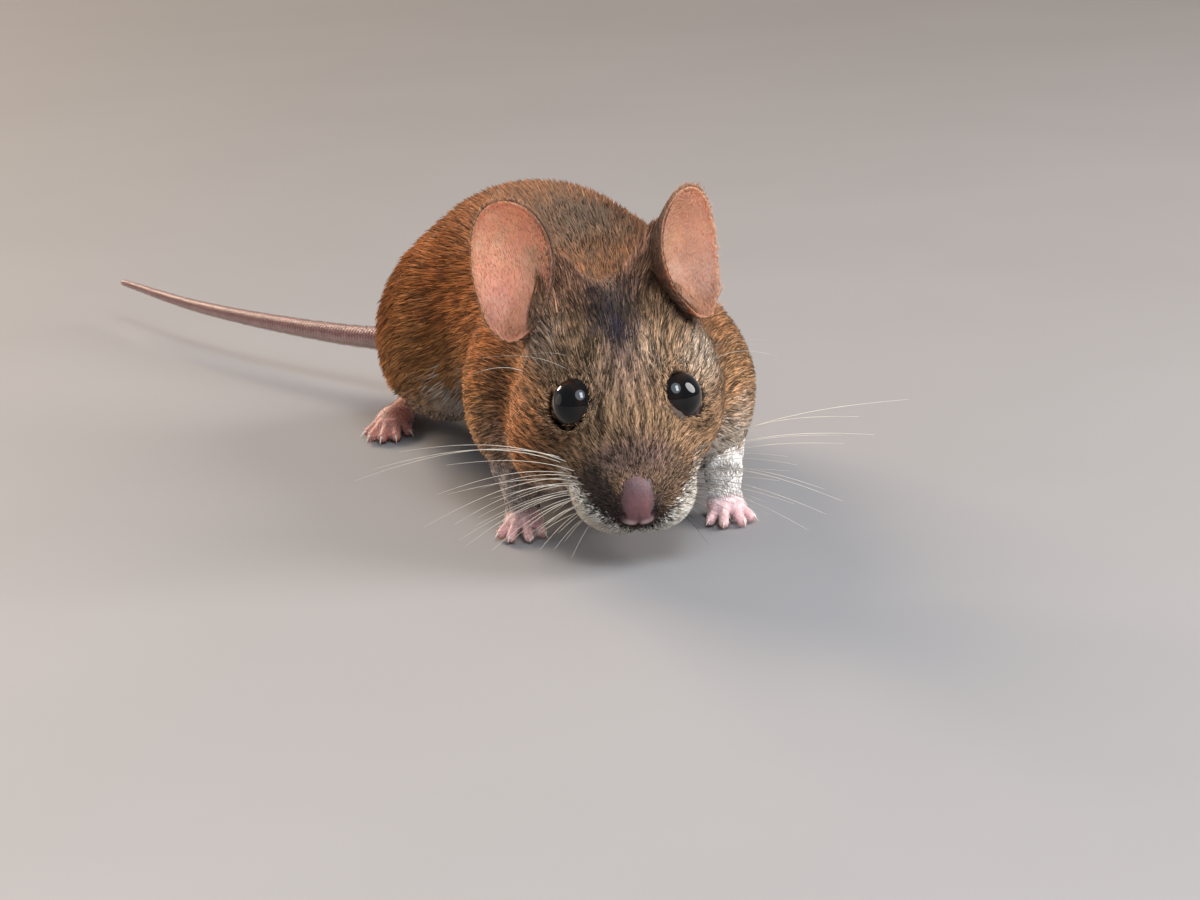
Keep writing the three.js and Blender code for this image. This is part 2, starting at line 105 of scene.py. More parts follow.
# ---------- forms of flesh and bone ----------
# Each form has a field, the distance from its surface in millimetres, negative inside, and the balls
# that stand for it in the rough start of the skin: (middle, turn, radii).
class Egg:
    def __init__(self, at, radii, yaw=0.0, pitch=0.0, roll=0.0, head=False):
        self.at = in_head(*at) if head else np.array(at, float)
        turn = turned(yaw, pitch, roll)
        self.turn = HEAD_TURN @ turn if head else turn
        self.radii = np.array(radii, float)
        self.balls = [(self.at, self.turn, self.radii)]

    def field(self, points):
        own = (points - self.at) @ self.turn
        near = np.linalg.norm(own / self.radii, axis=1)
        slope = np.linalg.norm(own / self.radii**2, axis=1)
        return near * (near - 1) / np.maximum(slope, 1e-9)


class Bone:
    """Round-ended, with a radius that changes evenly from one end to the other."""

    def __init__(self, start, start_radius, end, end_radius, head=False):
        self.start = in_head(*start) if head else np.array(start, float)
        self.end = in_head(*end) if head else np.array(end, float)
        self.radii = (start_radius, end_radius)
        spacing = max(min(self.radii) * 0.5, 0.25)
        count = max(int(np.linalg.norm(self.end - self.start) / spacing), 1)
        self.balls = [self.ball(i / count) for i in range(count + 1)]

    def ball(self, t):
        radius = self.radii[0] + (self.radii[1] - self.radii[0]) * t
        return self.start + (self.end - self.start) * t, np.eye(3), np.full(3, radius)

    def field(self, points):
        along = self.end - self.start
        t = np.clip((points - self.start) @ along / (along @ along), 0, 1)
        nearest = self.start + t[:, None] * along
        radius = self.radii[0] + (self.radii[1] - self.radii[0]) * t
        return np.linalg.norm(points - nearest, axis=1) - radius


def pair(kind, *args, **turns):
    """A form of the head and its mirror image."""
    def flip(value):
        return (-value[0], value[1], value[2]) if isinstance(value, tuple) else value

    if kind is Egg:
        at, radii = args
        mirrored = dict(turns)
        mirrored["yaw"] = -turns.get("yaw", 0.0)
        mirrored["roll"] = -turns.get("roll", 0.0)
        return [Egg(at, radii, head=True, **turns), Egg(flip(at), radii, head=True, **mirrored)]
    return [kind(*args, head=True), kind(*[flip(a) for a in args], head=True)]


def nearest(forms, points):
    return np.minimum.reduce([form.field(points) for form in forms])


def blend(fillet, *values):
    """Joins fields with a fillet of about that size."""
    total = values[0]
    for value in values[1:]:
        share = np.maximum(fillet - np.abs(total - value), 0) / fillet
        total = np.minimum(total, value) - share * share * fillet / 4
    return total


FAR = 60.0
MARGIN = 6.0


def around(forms, points, field):
    """A field worked out only near its forms, and FAR elsewhere."""
    places = np.array([ball[0] for form in forms for ball in form.balls])
    reach = max(ball[2].max() for form in forms for ball in form.balls) + MARGIN
    low, high = places.min(0) - reach, places.max(0) + reach
    near = np.all((points > low) & (points < high), axis=1)
    out = np.full(len(points), FAR)
    if near.any():
        out[near] = field(points[near])
    return out


# ---------- ears ----------
EAR_WALL = 0.42
EAR_EGG = 0.16  # how much wider the ear is near its tip than near its base


class Ear:
    """A cupped dish that stands on the head: its rim curls forward."""

    def __init__(self, base, tip, facing, width, cup, sign):
        base, tip = np.array(base, float), np.array(tip, float)
        self.up = unit(tip - base)
        self.half_length = np.linalg.norm(tip - base) / 2
        yaw = math.radians(facing)
        forward = np.array([sign * math.sin(yaw), -math.cos(yaw), 0.1])
        self.normal = unit(forward - forward @ self.up * self.up)
        self.across = np.cross(self.up, self.normal)
        self.at = (base + tip) / 2
        self.base = base
        self.width = width
        self.cup = cup
        self.balls = [(self.at, np.eye(3), np.full(3, self.half_length))]
        behind = base - self.normal * 1.3
        inwards = unit(in_head(0, 7.5, 0.5) - behind)
        self.root = Bone(behind + inwards * 4.0, 2.6, behind + self.up * 1.2, 1.2)

    def own(self, points):
        """Share of the way across, share of the way up, distance in front of the middle."""
        away = points - self.at
        high = away @ self.up / self.half_length
        side = away @ self.across / (self.width * (1 + EAR_EGG * high))
        return side, high, away @ self.normal

    def depth(self, side, high):
        share = side * side + high * high
        folds = 0.12 * np.sin(side * 9 + 1.0) * np.exp(-(((high + 0.75) / 0.4) ** 2))
        return self.cup * (share - 0.72) * (1 - 0.25 * high) + 0.9 * high * high + folds

    def field(self, points):
        side, high, front = self.own(points)
        step = 0.02
        run = self.width * (1 + EAR_EGG * high)
        slope_across = (self.depth(side + step, high) - self.depth(side - step, high)) / (2 * step * run)
        rise_up = self.depth(side, high + step) - self.depth(side, high - step)
        slope_up = rise_up / (2 * step * self.half_length)
        share = np.sqrt(side * side + high * high)
        wall = EAR_WALL * ramp(share, (0.0, 1.5), (0.6, 1.15), (0.9, 0.95), (1.0, 0.8))
        steep = np.sqrt(1 + slope_across**2 + slope_up**2)
        shell = (np.abs(front - self.depth(side, high)) - wall * steep / 2) / steep
        rim = (share - 1) * np.minimum(run, self.half_length)
        return -blend(0.25, -shell, -rim)

    def start(self, ball):
        """A unit ball of points bent into the dish, for the rough start of the skin."""
        side, high, front = ball.T
        run = self.width * (1 + EAR_EGG * high)
        deep = self.depth(side, high) + np.sign(front) * np.abs(front) ** 0.4 * 0.42
        return (
            self.at
            + (side * run)[:, None] * self.across
            + (high * self.half_length)[:, None] * self.up
            + deep[:, None] * self.normal
        )


EARS = {
    "right": Ear((-8.1, 6.3, 22.8), (-7.7, 6.5, 38.1), 30, 5.05, 3.0, -1),
    "left": Ear((10.8, 6.0, 24.0), (9.4, 6.6, 38.2), 58, 5.7, 3.6, 1),
}
# Furred swellings: in front of each ear's inner edge, and up the back of it.
EAR_TUFTS = [
    Bone((-4.6, 4.8, 20.5), 3.0, (-5.0, 4.8, 27.0), 1.1),
    Bone((7.2, 5.3, 21.5), 2.8, (8.1, 4.8, 27.2), 1.1),
]
EAR_BACKS = [
    Bone((-2.0, 8.0, 24.5), 3.4, (-4.7, 8.0, 31.5), 1.1),
    Bone((4.4, 8.6, 24.2), 3.4, (7.6, 8.4, 33.6), 0.8),
]
EAR_LOBES = EAR_TUFTS + EAR_BACKS


def in_cup(points):
    """Whether each place lies within the cup of an ear, clear of the fur before its inner edge."""
    inside = np.zeros(len(points), bool)
    for ear in EARS.values():
        side, high, front = ear.own(points)
        deep = (front > ear.depth(side, high)) & (front < 6)
        inside |= deep & (side**2 + high**2 < 1.1) & (high > -0.75)
    return inside & (nearest(EAR_TUFTS, points) > 0.6)


# ---------- head, neck and trunk ----------
CRANIUM = Egg((0, 7.0, -0.6), (8.6, 9.5, 7.6), head=True)
BROW = Egg((0, 0.2, -0.3), (4.8, 6.5, 4.4), pitch=12, head=True)
CHEEKS = [
    *pair(Egg, (4.9, 4.5, -3.9), (5.7, 7.4, 5.4)),
    Egg((-6.4, 4.6, -5.0), (5.2, 5.4, 5.0), head=True),
    Egg((5.0, 4.2, -4.4), (4.7, 6.2, 5.0), head=True),
]
SNOUT = Bone((0, -0.5, -3.0), 5.4, (0, -8.8, -4.6), 3.3, head=True)
FLANKS = pair(Bone, (3.6, 1.0, -5.2), 4.8, (2.6, -6.6, -5.8), 3.3)
JAW = Bone((0, -7.8, -8.0), 1.8, (0, 2.0, -6.8), 4.2, head=True)
THROAT = Egg((0, 8.0, -4.8), (8.0, 8.5, 6.0), head=True)
PADS = pair(Egg, (2.6, -8.2, -6.2), (3.4, 3.7, 3.2))
TIP = Egg((0, -10.9, -5.0), (1.9, 1.9, 2.0), head=True)
NECK = Bone((2.6, 9, 17.0), 8.3, (1.8, 19, 16.0), 10.6)
BREAST = Egg((-4.4, 7.5, 10.0), (5.0, 6.0, 4.4))
CHEST = Egg((1.2, 24, 15.4), (13.2, 15, 11.8))
LOIN = Egg((-1.4, 38, 17.0), (14.0, 16, 13.6), yaw=10)
RUMP = Egg((-6.3, 54, 17.2), (15.6, 18.2, 14.8), yaw=22)
TAIL_HEAD = Bone((-12.4, 65, 12.2), 7.0, (-19.6, 74.8, 8.9), 2.0)
SHOULDERS = [
    Egg((-8.3, 20.5, 13.0), (6.6, 9.2, 8.8), yaw=-4, pitch=18),
    Egg((11.0, 20.5, 12.8), (6.8, 9.2, 8.8), yaw=6, pitch=18),
]
HAUNCHES = [
    Egg((-18.9, 57.0, 12.8), (7.4, 13, 10.4), yaw=18, pitch=-24),
    Egg((6.8, 52.5, 12.6), (7.4, 13, 10.4), yaw=22, pitch=-24),
]
HEAD_FORMS = [CRANIUM, BROW, *CHEEKS, SNOUT, *FLANKS, JAW, THROAT, *PADS, TIP, *EAR_LOBES]
TRUNK_FORMS = [NECK, BREAST, CHEST, LOIN, RUMP, TAIL_HEAD, *SHOULDERS, *HAUNCHES]


def head_field(points):
    skull = [CRANIUM.field(points), BROW.field(points), nearest(CHEEKS, points), SNOUT.field(points)]
    skull += [nearest(FLANKS, points), JAW.field(points), THROAT.field(points)]
    return blend(1.6, blend(4, *skull), nearest(PADS, points), TIP.field(points), nearest(EAR_LOBES, points))


def coat_field(points):
    """The outline of the coat over head, neck and trunk, as the solids have it."""
    head = around(HEAD_FORMS, points, head_field)
    neck = blend(3, NECK.field(points), BREAST.field(points))
    trunk = blend(7, neck, *[form.field(points) for form in (CHEST, LOIN, RUMP, TAIL_HEAD)])
    muscles = [form.field(points) for form in (*SHOULDERS, *HAUNCHES)]
    return blend(5, head, trunk, *muscles)


NOSE_AT = in_head(0, -12.6, -4.9)


def from_nose(points):
    return np.linalg.norm(points - NOSE_AT, axis=1)


def on_lobe(points):
    """1 on the furred swellings at the ears' roots, 0 away from them."""
    close = ramp(nearest(EAR_LOBES, points), (0.5, 1.0), (2.2, 0.0))
    return close * ramp(points[:, 2], (22.5, 0.0), (25.0, 1.0))


def coat_depth(points):
    """How far the skin lies inside the coat's outline."""
    depth = ramp(from_nose(points), (0, 0), (4, 0.1), (12, 0.3), (22, 0.7), (34, 1.2), (52, 1.8))
    return depth * (1 - 0.5 * on_lobe(points))


# ---------- details of the face ----------
EYE_RADIUS = 2.9
EYE_AT = {side: middle(f"eye_{side}") - HOME for side in SIDES}
EYE_AXIS = {side: unit(HEAD_TURN @ np.array([sign * 0.80, -0.48, 0.36])) for side, sign in SIDES.items()}
LID_OPENING = {"right": 75.0, "left": 60.0}  # half the angle of the eyeball that shows
LID_THICKNESS = 0.26


def eye_polar(side, points):
    """Distance from the middle of an eyeball, along its axis and across it."""
    away = points - EYE_AT[side]
    along = away @ EYE_AXIS[side]
    across = np.linalg.norm(away - along[:, None] * EYE_AXIS[side], axis=1)
    return np.linalg.norm(away, axis=1), along, across


def lid_field(side, points):
    """The rim of the lids, a ring that hugs the eyeball."""
    _, along, across = eye_polar(side, points)
    opening = math.radians(LID_OPENING[side])
    ring = EYE_RADIUS * math.sin(opening) + 0.08
    return np.hypot(across - ring, along - EYE_RADIUS * math.cos(opening)) - LID_THICKNESS


def bowl_height(side, across):
    """How high the skin may stand along the eye's axis: sunk within the lids, rising gently round them."""
    opening = math.radians(LID_OPENING[side])
    ring = EYE_RADIUS * math.sin(opening)
    eyeball = np.sqrt(np.maximum(EYE_RADIUS**2 - across**2, 0))
    inside = eyeball + ramp(across - ring, (-0.7, -0.5), (-0.2, -0.05), (0.0, 0.2))
    beyond = np.maximum(across - ring, 0)
    outside = EYE_RADIUS * math.cos(opening) + 0.2 + 0.22 * beyond + 0.13 * beyond**2
    return np.where(across < ring, inside, outside)


def socket(side, points, field):
    """A dome of skin over the eyeball, opened within the lids and pressed to a bowl round them."""
    out, along, across = eye_polar(side, points)
    domed = blend(1.4, field, out - EYE_RADIUS - 0.1)
    pressed = -blend(0.5, -domed, bowl_height(side, across) - along)
    return blend(0.5, pressed, lid_field(side, points))


def dent(points, at, radii, depth, **turns):
    """A hollow pressed into a surface: what it adds to the field."""
    form = Egg(at, radii, head=True, **turns)
    own = (points - form.at) @ form.turn / form.radii
    return depth * np.exp(-dot(own, own))


NOSE_PAD = Egg((0.05, -11.3, -4.5), (1.72, 1.5, 2.7), pitch=-20, head=True)
NOSE_WINGS = pair(Egg, (0.92, -12.0, -5.8), (0.86, 0.72, 0.95))


def on_nose(points):
    """1 on the bare nose, 0 on the fur round it."""
    own = head_axes(points)
    half = ramp(own[:, 2], (-6.6, 1.45), (-5.4, 1.85), (-3.6, 1.85), (-2.0, 1.5))
    across = np.abs(own[:, 0] - 0.05) / half
    up = np.maximum(-2.0 - own[:, 2], 0) * np.maximum(own[:, 2] + 7.0, 0)
    within = ramp(across, (0.8, 1.0), (1.1, 0.0)) * ramp(up, (0.0, 0.0), (1.4, 1.0))
    return within * ramp(own[:, 1], (-9.4, 1.0), (-8.8, 0.0))



def face_details(points):
    """What the nostrils, the groove of the lip and the mouth add to the field."""
    total = np.zeros(len(points))
    for sign in SIDES.values():
        total += dent(points, (sign * 1.45, -12.4, -5.5), (0.28, 0.8, 0.4), 0.6, yaw=sign * 30)
        total += dent(points, (sign * 1.95, -11.8, -5.1), (0.4, 0.8, 0.3), 0.25)
        total += dent(points, (sign * 3.0, -7.4, -8.9), (2.6, 3.6, 0.28), 0.5, pitch=-12)
    total += dent(points, (0, -13.2, -6.4), (0.16, 1.2, 1.0), 0.3)
    total += dent(points, (0, -11.4, -8.6), (0.22, 1.6, 1.4), 0.6)
    return total


# ---------- legs and feet ----------
FORE = {
    "right": dict(elbow=(-9.8, 20.5, 7.2), wrist=(-9.0, 13.4, 4.2), ball=(-8.9, 11.2, 1.35), yaw=-6),
    "left": dict(elbow=(13.2, 21.0, 8.4), wrist=(13.6, 14.4, 4.8), ball=(13.6, 12.2, 1.35), yaw=6),
}
HIND = {
    "right": dict(knee=(-18.5, 52, 9.0), heel=(-23.4, 72.0, 3.6), ball=(-25.6, 62.6, 1.5), yaw=-12),
    "left": dict(knee=(6.5, 46, 9.0), heel=(4.6, 68.0, 3.6), ball=(6.8, 58.0, 1.5), yaw=10),
}
FORE_TOES = ((-36, 4.0), (-12, 4.9), (13, 4.9), (38, 4.0))  # the turn of each toe, and its reach
HIND_TOES = ((-40, 4.2), (-16, 6.0), (0, 6.4), (16, 6.0), (42, 3.8))


def toe_line(ball, yaw, reach, thick):
    """The places along a toe: its root, two knuckles and its tip, just above the floor."""
    way = np.array([math.sin(math.radians(yaw)), -math.cos(math.radians(yaw)), 0.0])
    ball = np.array(ball, float)
    heights = (1.35, 1.5, 0.95, thick * 0.95)
    return [np.array([*(ball + way * reach * s)[:2], h]) for s, h in zip((0.25, 0.52, 0.78, 0.95), heights)]


def toe_forms(ball, yaw, reach, thick):
    root, knuckle, joint, tip = toe_line(ball, yaw, reach, thick)
    return [
        Bone(root, thick * 1.25, knuckle, thick * 1.05),
        Bone(knuckle, thick * 1.05, joint, thick * 0.86),
        Bone(joint, thick * 0.86, tip, thick * 0.98),
    ]


class Limb:
    """A leg that grows out of the coat, with its foot and toes."""

    def __init__(self, leg, foot, toes):
        self.leg = leg
        self.foot = foot
        self.toes = toes
        self.forms = [*leg, *foot, *[form for toe in toes for form in toe]]
        self.foot_forms = [*foot, *[form for toe in toes for form in toe]]

    def foot_field(self, points):
        toes = [blend(0.3, *[form.field(points) for form in toe]) for toe in self.toes]
        pads = blend(0.8, *[form.field(points) for form in self.foot])
        return blend(0.45, pads, *toes)

    def field(self, points):
        leg = blend(1.5, *[form.field(points) for form in self.leg])
        return blend(1.0, leg, self.foot_field(points))


def fore_limb(elbow, wrist, ball, yaw):
    above = np.array(wrist) + (np.array(elbow) - np.array(wrist)) * 0.5
    leg = [Bone(elbow, 2.9, above, 2.2), Bone(above, 2.2, wrist, 1.55), Bone(wrist, 1.55, ball, 1.35)]
    foot = [Egg(ball, (2.1, 2.4, 1.35), yaw=yaw)]
    return Limb(leg, foot, [toe_forms(ball, yaw + turn, reach, 0.56) for turn, reach in FORE_TOES])


def hind_limb(knee, heel, ball, yaw):
    hock = np.array(heel) + (0, 0, 1.2)
    low_heel = np.array([heel[0], heel[1], 1.6])
    leg = [Bone(knee, 3.8, hock, 1.7), Bone(hock, 1.7, low_heel, 1.6)]
    foot = [Bone(low_heel, 1.6, ball, 1.6), Egg(ball, (2.3, 2.8, 1.5), yaw=yaw)]
    return Limb(leg, foot, [toe_forms(ball, yaw + turn, reach, 0.62) for turn, reach in HIND_TOES])


LIMBS = {f"fore_{side}": fore_limb(**FORE[side]) for side in SIDES}
LIMBS.update({f"hind_{side}": hind_limb(**HIND[side]) for side in SIDES})

# ---------- tail ----------
TAIL_POINTS = np.array([
    (-15.0, 68.5, 9.8), (-19.2, 74.5, 8.8), (-29, 85, 7.4),
    (-42, 100, 6.8), (-56, 119, 6.4), (-69, 141, 6.2),
])
TAIL_RADII = (1.8, 0.42)
TAIL_STEPS = 90


def smooth_line(points, count):
    """A centripetal Catmull-Rom curve through the points, at even lengths."""
    ends = (2 * points[0] - points[1], 2 * points[-1] - points[-2])
    knots = np.vstack([ends[0], points, ends[1]])
    out = []
    for i in range(1, len(knots) - 2):
        p0, p1, p2, p3 = knots[i - 1 : i + 3]
        gaps = [max(np.linalg.norm(b - a) ** 0.5, 1e-6) for a, b in ((p0, p1), (p1, p2), (p2, p3))]
        m1 = ((p1 - p0) / gaps[0] - (p2 - p0) / (gaps[0] + gaps[1]) + (p2 - p1) / gaps[1]) * gaps[1]
        m2 = ((p2 - p1) / gaps[1] - (p3 - p1) / (gaps[1] + gaps[2]) + (p3 - p2) / gaps[2]) * gaps[1]
        for t in np.arange(0, 1, 0.02):
            h = (2 * t**3 - 3 * t**2 + 1, t**3 - 2 * t**2 + t, -2 * t**3 + 3 * t**2, t**3 - t**2)
            out.append(h[0] * p1 + h[1] * m1 + h[2] * p2 + h[3] * m2)
    out = np.array([*out, points[-1]])
    lengths = np.concatenate([[0], np.cumsum(np.linalg.norm(np.diff(out, axis=0), axis=1))])
    even = np.linspace(0, lengths[-1], count)
    return np.stack([np.interp(even, lengths, out[:, k]) for k in range(3)], axis=1)


TAIL_LINE = smooth_line(TAIL_POINTS, TAIL_STEPS)


def tail_radius(share):
    return TAIL_RADII[0] + (TAIL_RADII[1] - TAIL_RADII[0]) * share**0.85


TAIL_THICK = [tail_radius(i / (TAIL_STEPS - 1)) for i in range(TAIL_STEPS)]
TAIL_FORMS = [
    Bone(TAIL_LINE[i], TAIL_THICK[i], TAIL_LINE[i + 1], TAIL_THICK[i + 1]) for i in range(TAIL_STEPS - 1)
]


def along_tail(points):
    """How far along the tail each point is, as a share, and its distance from the middle line."""
    starts, steps = TAIL_LINE[:-1], np.diff(TAIL_LINE, axis=0)
    best = np.full(len(points), np.inf)
    share = np.zeros(len(points))
    for i, (start, step) in enumerate(zip(starts, steps)):
        t = np.clip((points - start) @ step / (step @ step), 0, 1)
        away = np.linalg.norm(points - start - t[:, None] * step, axis=1)
        better = away < best
        best[better] = away[better]
        share[better] = (i + t[better]) / len(steps)
    return share, best


def tail_field(points):
    share, away = along_tail(points)
    return away - tail_radius(share)


# ---------- the skin ----------
def furred_field(points):
    """Skin of head, neck and trunk, under the coat."""
    return coat_field(points) + coat_depth(points)


def skin_field(points):
    """The whole skin, with the floor pressed flat under the feet."""
    total = furred_field(points)
    near = from_nose(points) < 24
    close = points[near]
    face = blend(0.7, total[near], NOSE_PAD.field(close), nearest(NOSE_WINGS, close))
    face = face + face_details(close)
    for side in SIDES:
        face = socket(side, close, face)
    total[near] = face
    for ear in EARS.values():
        total = blend(1.1, total, around([ear], points, ear.field))
        total = blend(1.8, total, ear.root.field(points))
    for limb in LIMBS.values():
        total = blend(1.6, total, around(limb.forms, points, limb.field))
    total = blend(1.4, total, around(TAIL_FORMS, points, tail_field))
    return np.maximum(total, -points[:, 2])


def slopes(field, points, step=0.03):
    """The field's value and gradient."""
    value = field(points)
    gradient = np.empty_like(points)
    for axis in range(3):
        shifted = points.copy()
        shifted[:, axis] += step
        gradient[:, axis] = (field(shifted) - value) / step
    return value, gradient


def settle(points, field, rounds, longest=0.8):
    """Moves points onto the surface of a field."""
    for _ in range(rounds):
        value, gradient = slopes(field, points)
        move = gradient * (value / np.maximum(dot(gradient, gradient), 0.1))[:, None]
        length = np.linalg.norm(move, axis=1, keepdims=True)
        points = points - move * np.minimum(1, longest / np.maximum(length, 1e-9))
    return points


def vertices(mesh):
    flat = np.empty(len(mesh.vertices) * 3, np.float32)
    mesh.vertices.foreach_get("co", flat)
    return flat.reshape(-1, 3).astype(float) / MM - HOME


def put_vertices(mesh, points):
    mesh.vertices.foreach_set("co", ((points + HOME) * MM).astype(np.float32).ravel())
    mesh.update()


# ---------- making meshes ----------
def select_only(piece):
    bpy.ops.object.select_all(action="DESELECT")
    piece.select_set(True)
    bpy.context.view_layer.objects.active = piece


def apply_modifier(piece, kind, **settings):
    select_only(piece)
    modifier = piece.modifiers.new("shape", kind)
    for name, value in settings.items():
        setattr(modifier, name, value)
    bpy.ops.object.modifier_apply(modifier=modifier.name)


def mesh_piece(name, points, triangles):
    """A smooth piece from working points and triangles, with its object at the origin."""
    mesh = bpy.data.meshes.new(name)
    mesh.vertices.add(len(points))
    mesh.loops.add(triangles.size)
    mesh.polygons.add(len(triangles))
    mesh.loops.foreach_set("vertex_index", triangles.astype(np.int32).ravel())
    mesh.polygons.foreach_set("loop_start", np.arange(0, triangles.size, 3, dtype=np.int32))
    mesh.polygons.foreach_set("use_smooth", np.ones(len(triangles), bool))
    put_vertices(mesh, points)
    mesh.update(calc_edges=True)
    piece = bpy.data.objects.new(name, mesh)
    bpy.context.scene.collection.objects.link(piece)
    return piece


def put_colours(mesh, name, colours):
    """Linear colours, one to a vertex, that the materials read by name."""
    attribute = mesh.color_attributes.new(name, "FLOAT_COLOR", "POINT")
    full = np.ones((len(colours), 4), np.float32)
    full[:, :3] = np.clip(colours, 0, 1)
    attribute.data.foreach_set("color", full.ravel())


def put_values(mesh, name, values):
    attribute = mesh.attributes.new(name, "FLOAT", "POINT")
    attribute.data.foreach_set("value", np.asarray(values, np.float32))


def unit_ball(subdivisions):
    """The points and triangles of a ball of radius 1."""
    bpy.ops.mesh.primitive_ico_sphere_add(subdivisions=subdivisions, radius=1)
    ball = bpy.context.object
    points = np.array([v.co for v in ball.data.vertices])
    triangles = np.array([p.vertices for p in ball.data.polygons])
    bpy.data.meshes.remove(ball.data)
    return points, triangles


# ---------- the skin's mesh ----------
VOXEL = 0.26
KEPT_SHARE = 0.40


def rough_skin():
    """Balls along every form and a bent ball for each ear, run together into one closed surface."""
    coarse, fine = unit_ball(3), unit_ball(5)
    points, triangles, total = [], [], 0
    forms = [*HEAD_FORMS, *TRUNK_FORMS, NOSE_PAD, *NOSE_WINGS, *TAIL_FORMS]
    forms += [form for limb in LIMBS.values() for form in limb.forms]
    forms += [ear.root for ear in EARS.values()]
    for form in forms:
        for at, turn, radii in form.balls:
            shrink = coat_depth(at[None])[0] if form in (*HEAD_FORMS, *TRUNK_FORMS) else 0.0
            points.append(at + (coarse[0] * (radii - shrink)) @ turn.T)
            triangles.append(coarse[1] + total)
            total += len(coarse[0])
    for ear in EARS.values():
        points.append(ear.start(fine[0]))
        triangles.append(fine[1] + total)
        total += len(fine[0])
    return mesh_piece("skin", np.vstack(points), np.vstack(triangles))


def skin_regions(points):
    """How far each point belongs to the ears, the feet and the tail, from 0 to 1."""
    furred = furred_field(points)
    proud = ramp(furred, (0.15, 0.0), (0.9, 1.0))
    ears = np.minimum.reduce([ear.field(points) for ear in EARS.values()])
    on_ear = proud * ramp(ears, (0.5, 1.0), (1.0, 0.0))
    feet = np.minimum.reduce([around(l.foot_forms, points, l.foot_field) for l in LIMBS.values()])
    on_foot = ramp(furred, (0.3, 0.0), (1.4, 1.0)) * ramp(feet, (0.25, 1.0), (0.9, 0.0))
    on_foot = on_foot * ramp(points[:, 2], (3.4, 1.0), (4.6, 0.0))
    share, away = along_tail(points)
    on_tail = ramp(share, (0.02, 0.0), (0.09, 1.0)) * ramp(away - tail_radius(share), (0.5, 1.0), (1.2, 0.0))
    return on_ear, on_foot, on_tail, share


def near_detail(points):
    """Where the face has its finest shapes: nose, mouth line and lids."""
    close = ramp(from_nose(points), (5.2, 1.0), (6.4, 0.0))
    for side in SIDES:
        close = np.maximum(close, ramp(lid_field(side, points), (0.35, 1.0), (0.9, 0.0)))
    return close


def thin_out(piece):
    """Fewer faces under the coat, where they don't show."""
    points = vertices(piece.data)
    on_ear, on_foot, on_tail, _ = skin_regions(points)
    kept = np.maximum.reduce([on_ear, on_foot, on_tail, near_detail(points)])
    group = piece.vertex_groups.new(name="coarse")
    for index, weight in enumerate(1 - 0.97 * kept):
        group.add((index,), float(weight), "REPLACE")
    apply_modifier(piece, "DECIMATE", ratio=KEPT_SHARE, vertex_group="coarse", use_collapse_triangulate=True)
    piece.vertex_groups.clear()


def refine_face(piece):
    """Halves the edges about the nose, the mouth and the lids."""
    select_only(piece)
    mesh = piece.data
    points = vertices(mesh)
    fine = near_detail(points) > 0.5
    mesh.vertices.foreach_set("select", fine)
    edges = np.empty(len(mesh.edges) * 2, np.int32)
    mesh.edges.foreach_get("vertices", edges)
    mesh.edges.foreach_set("select", fine[edges].reshape(-1, 2).all(1))
    faces = np.array([fine[list(p.vertices)].all() for p in mesh.polygons])
    mesh.polygons.foreach_set("select", faces)
    bpy.ops.object.mode_set(mode="EDIT")
    bpy.ops.mesh.subdivide(number_cuts=1)
    bpy.ops.mesh.select_all(action="SELECT")
    bpy.ops.mesh.quads_convert_to_tris()
    bpy.ops.mesh.select_all(action="DESELECT")
    bpy.ops.object.mode_set(mode="OBJECT")


def keep_outside(piece):
    """Drops the closed hollows that are left between the balls."""
    select_only(piece)
    bpy.ops.object.mode_set(mode="EDIT")
    bpy.ops.mesh.separate(type="LOOSE")
    bpy.ops.object.mode_set(mode="OBJECT")
    parts = sorted(bpy.context.selected_objects, key=lambda part: len(part.data.vertices))
    for part in parts[:-1]:
        bpy.data.meshes.remove(part.data)
    parts[-1].name = "skin"
    return parts[-1]


def even_out(piece):
    """Spreads the points of the finest places more evenly over their surface."""
    group = piece.vertex_groups.new(name="fine")
    for index in np.flatnonzero(near_detail(vertices(piece.data)) > 0.5):
        group.add((int(index),), 1.0, "REPLACE")
    apply_modifier(piece, "SMOOTH", factor=0.5, iterations=4, vertex_group="fine")
    piece.vertex_groups.clear()


def make_skin():
    piece = rough_skin()
    apply_modifier(piece, "REMESH", mode="VOXEL", voxel_size=VOXEL * MM, use_smooth_shade=True)
    piece = keep_outside(piece)
    put_vertices(piece.data, settle(vertices(piece.data), skin_field, 2))
    thin_out(piece)
    refine_face(piece)
    put_vertices(piece.data, settle(vertices(piece.data), skin_field, 3))
    even_out(piece)
    put_vertices(piece.data, settle(vertices(piece.data), skin_field, 4, 0.3))
    piece.data.polygons.foreach_set("use_smooth", np.ones(len(piece.data.polygons), bool))
    return piece


# ---------- which way the coat lies, and how long it is ----------
BACK_LINE = np.array(
    [(3.1, 0.0, 17.0), (1.8, 20, 16), (-1.4, 36, 17), (-6.3, 54, 17.2), (-12.4, 65, 12.2), (-19.6, 74.8, 8.9)]
)
NECK_AT, TRUNK_AT = 15.0, 30.0  # how far from the nose the lie of the head gives way to that of the trunk


def along_back(points):
    """The nearest place on the middle line of the trunk: its share of the length, its way and the offset."""
    best = np.full(len(points), np.inf)
    share = np.zeros(len(points))
    way = np.zeros((len(points), 3))
    offset = np.zeros((len(points), 3))
    steps = np.diff(BACK_LINE, axis=0)
    for i, (start, step) in enumerate(zip(BACK_LINE[:-1], steps)):
        t = np.clip((points - start) @ step / (step @ step), 0, 1)
        away = points - start - t[:, None] * step
        distance = np.linalg.norm(away, axis=1)
        better = distance < best
        best[better] = distance[better]
        share[better] = (i + t[better]) / len(steps)
        way[better] = step / np.linalg.norm(step)
        offset[better] = away[better]
    return share, way, offset


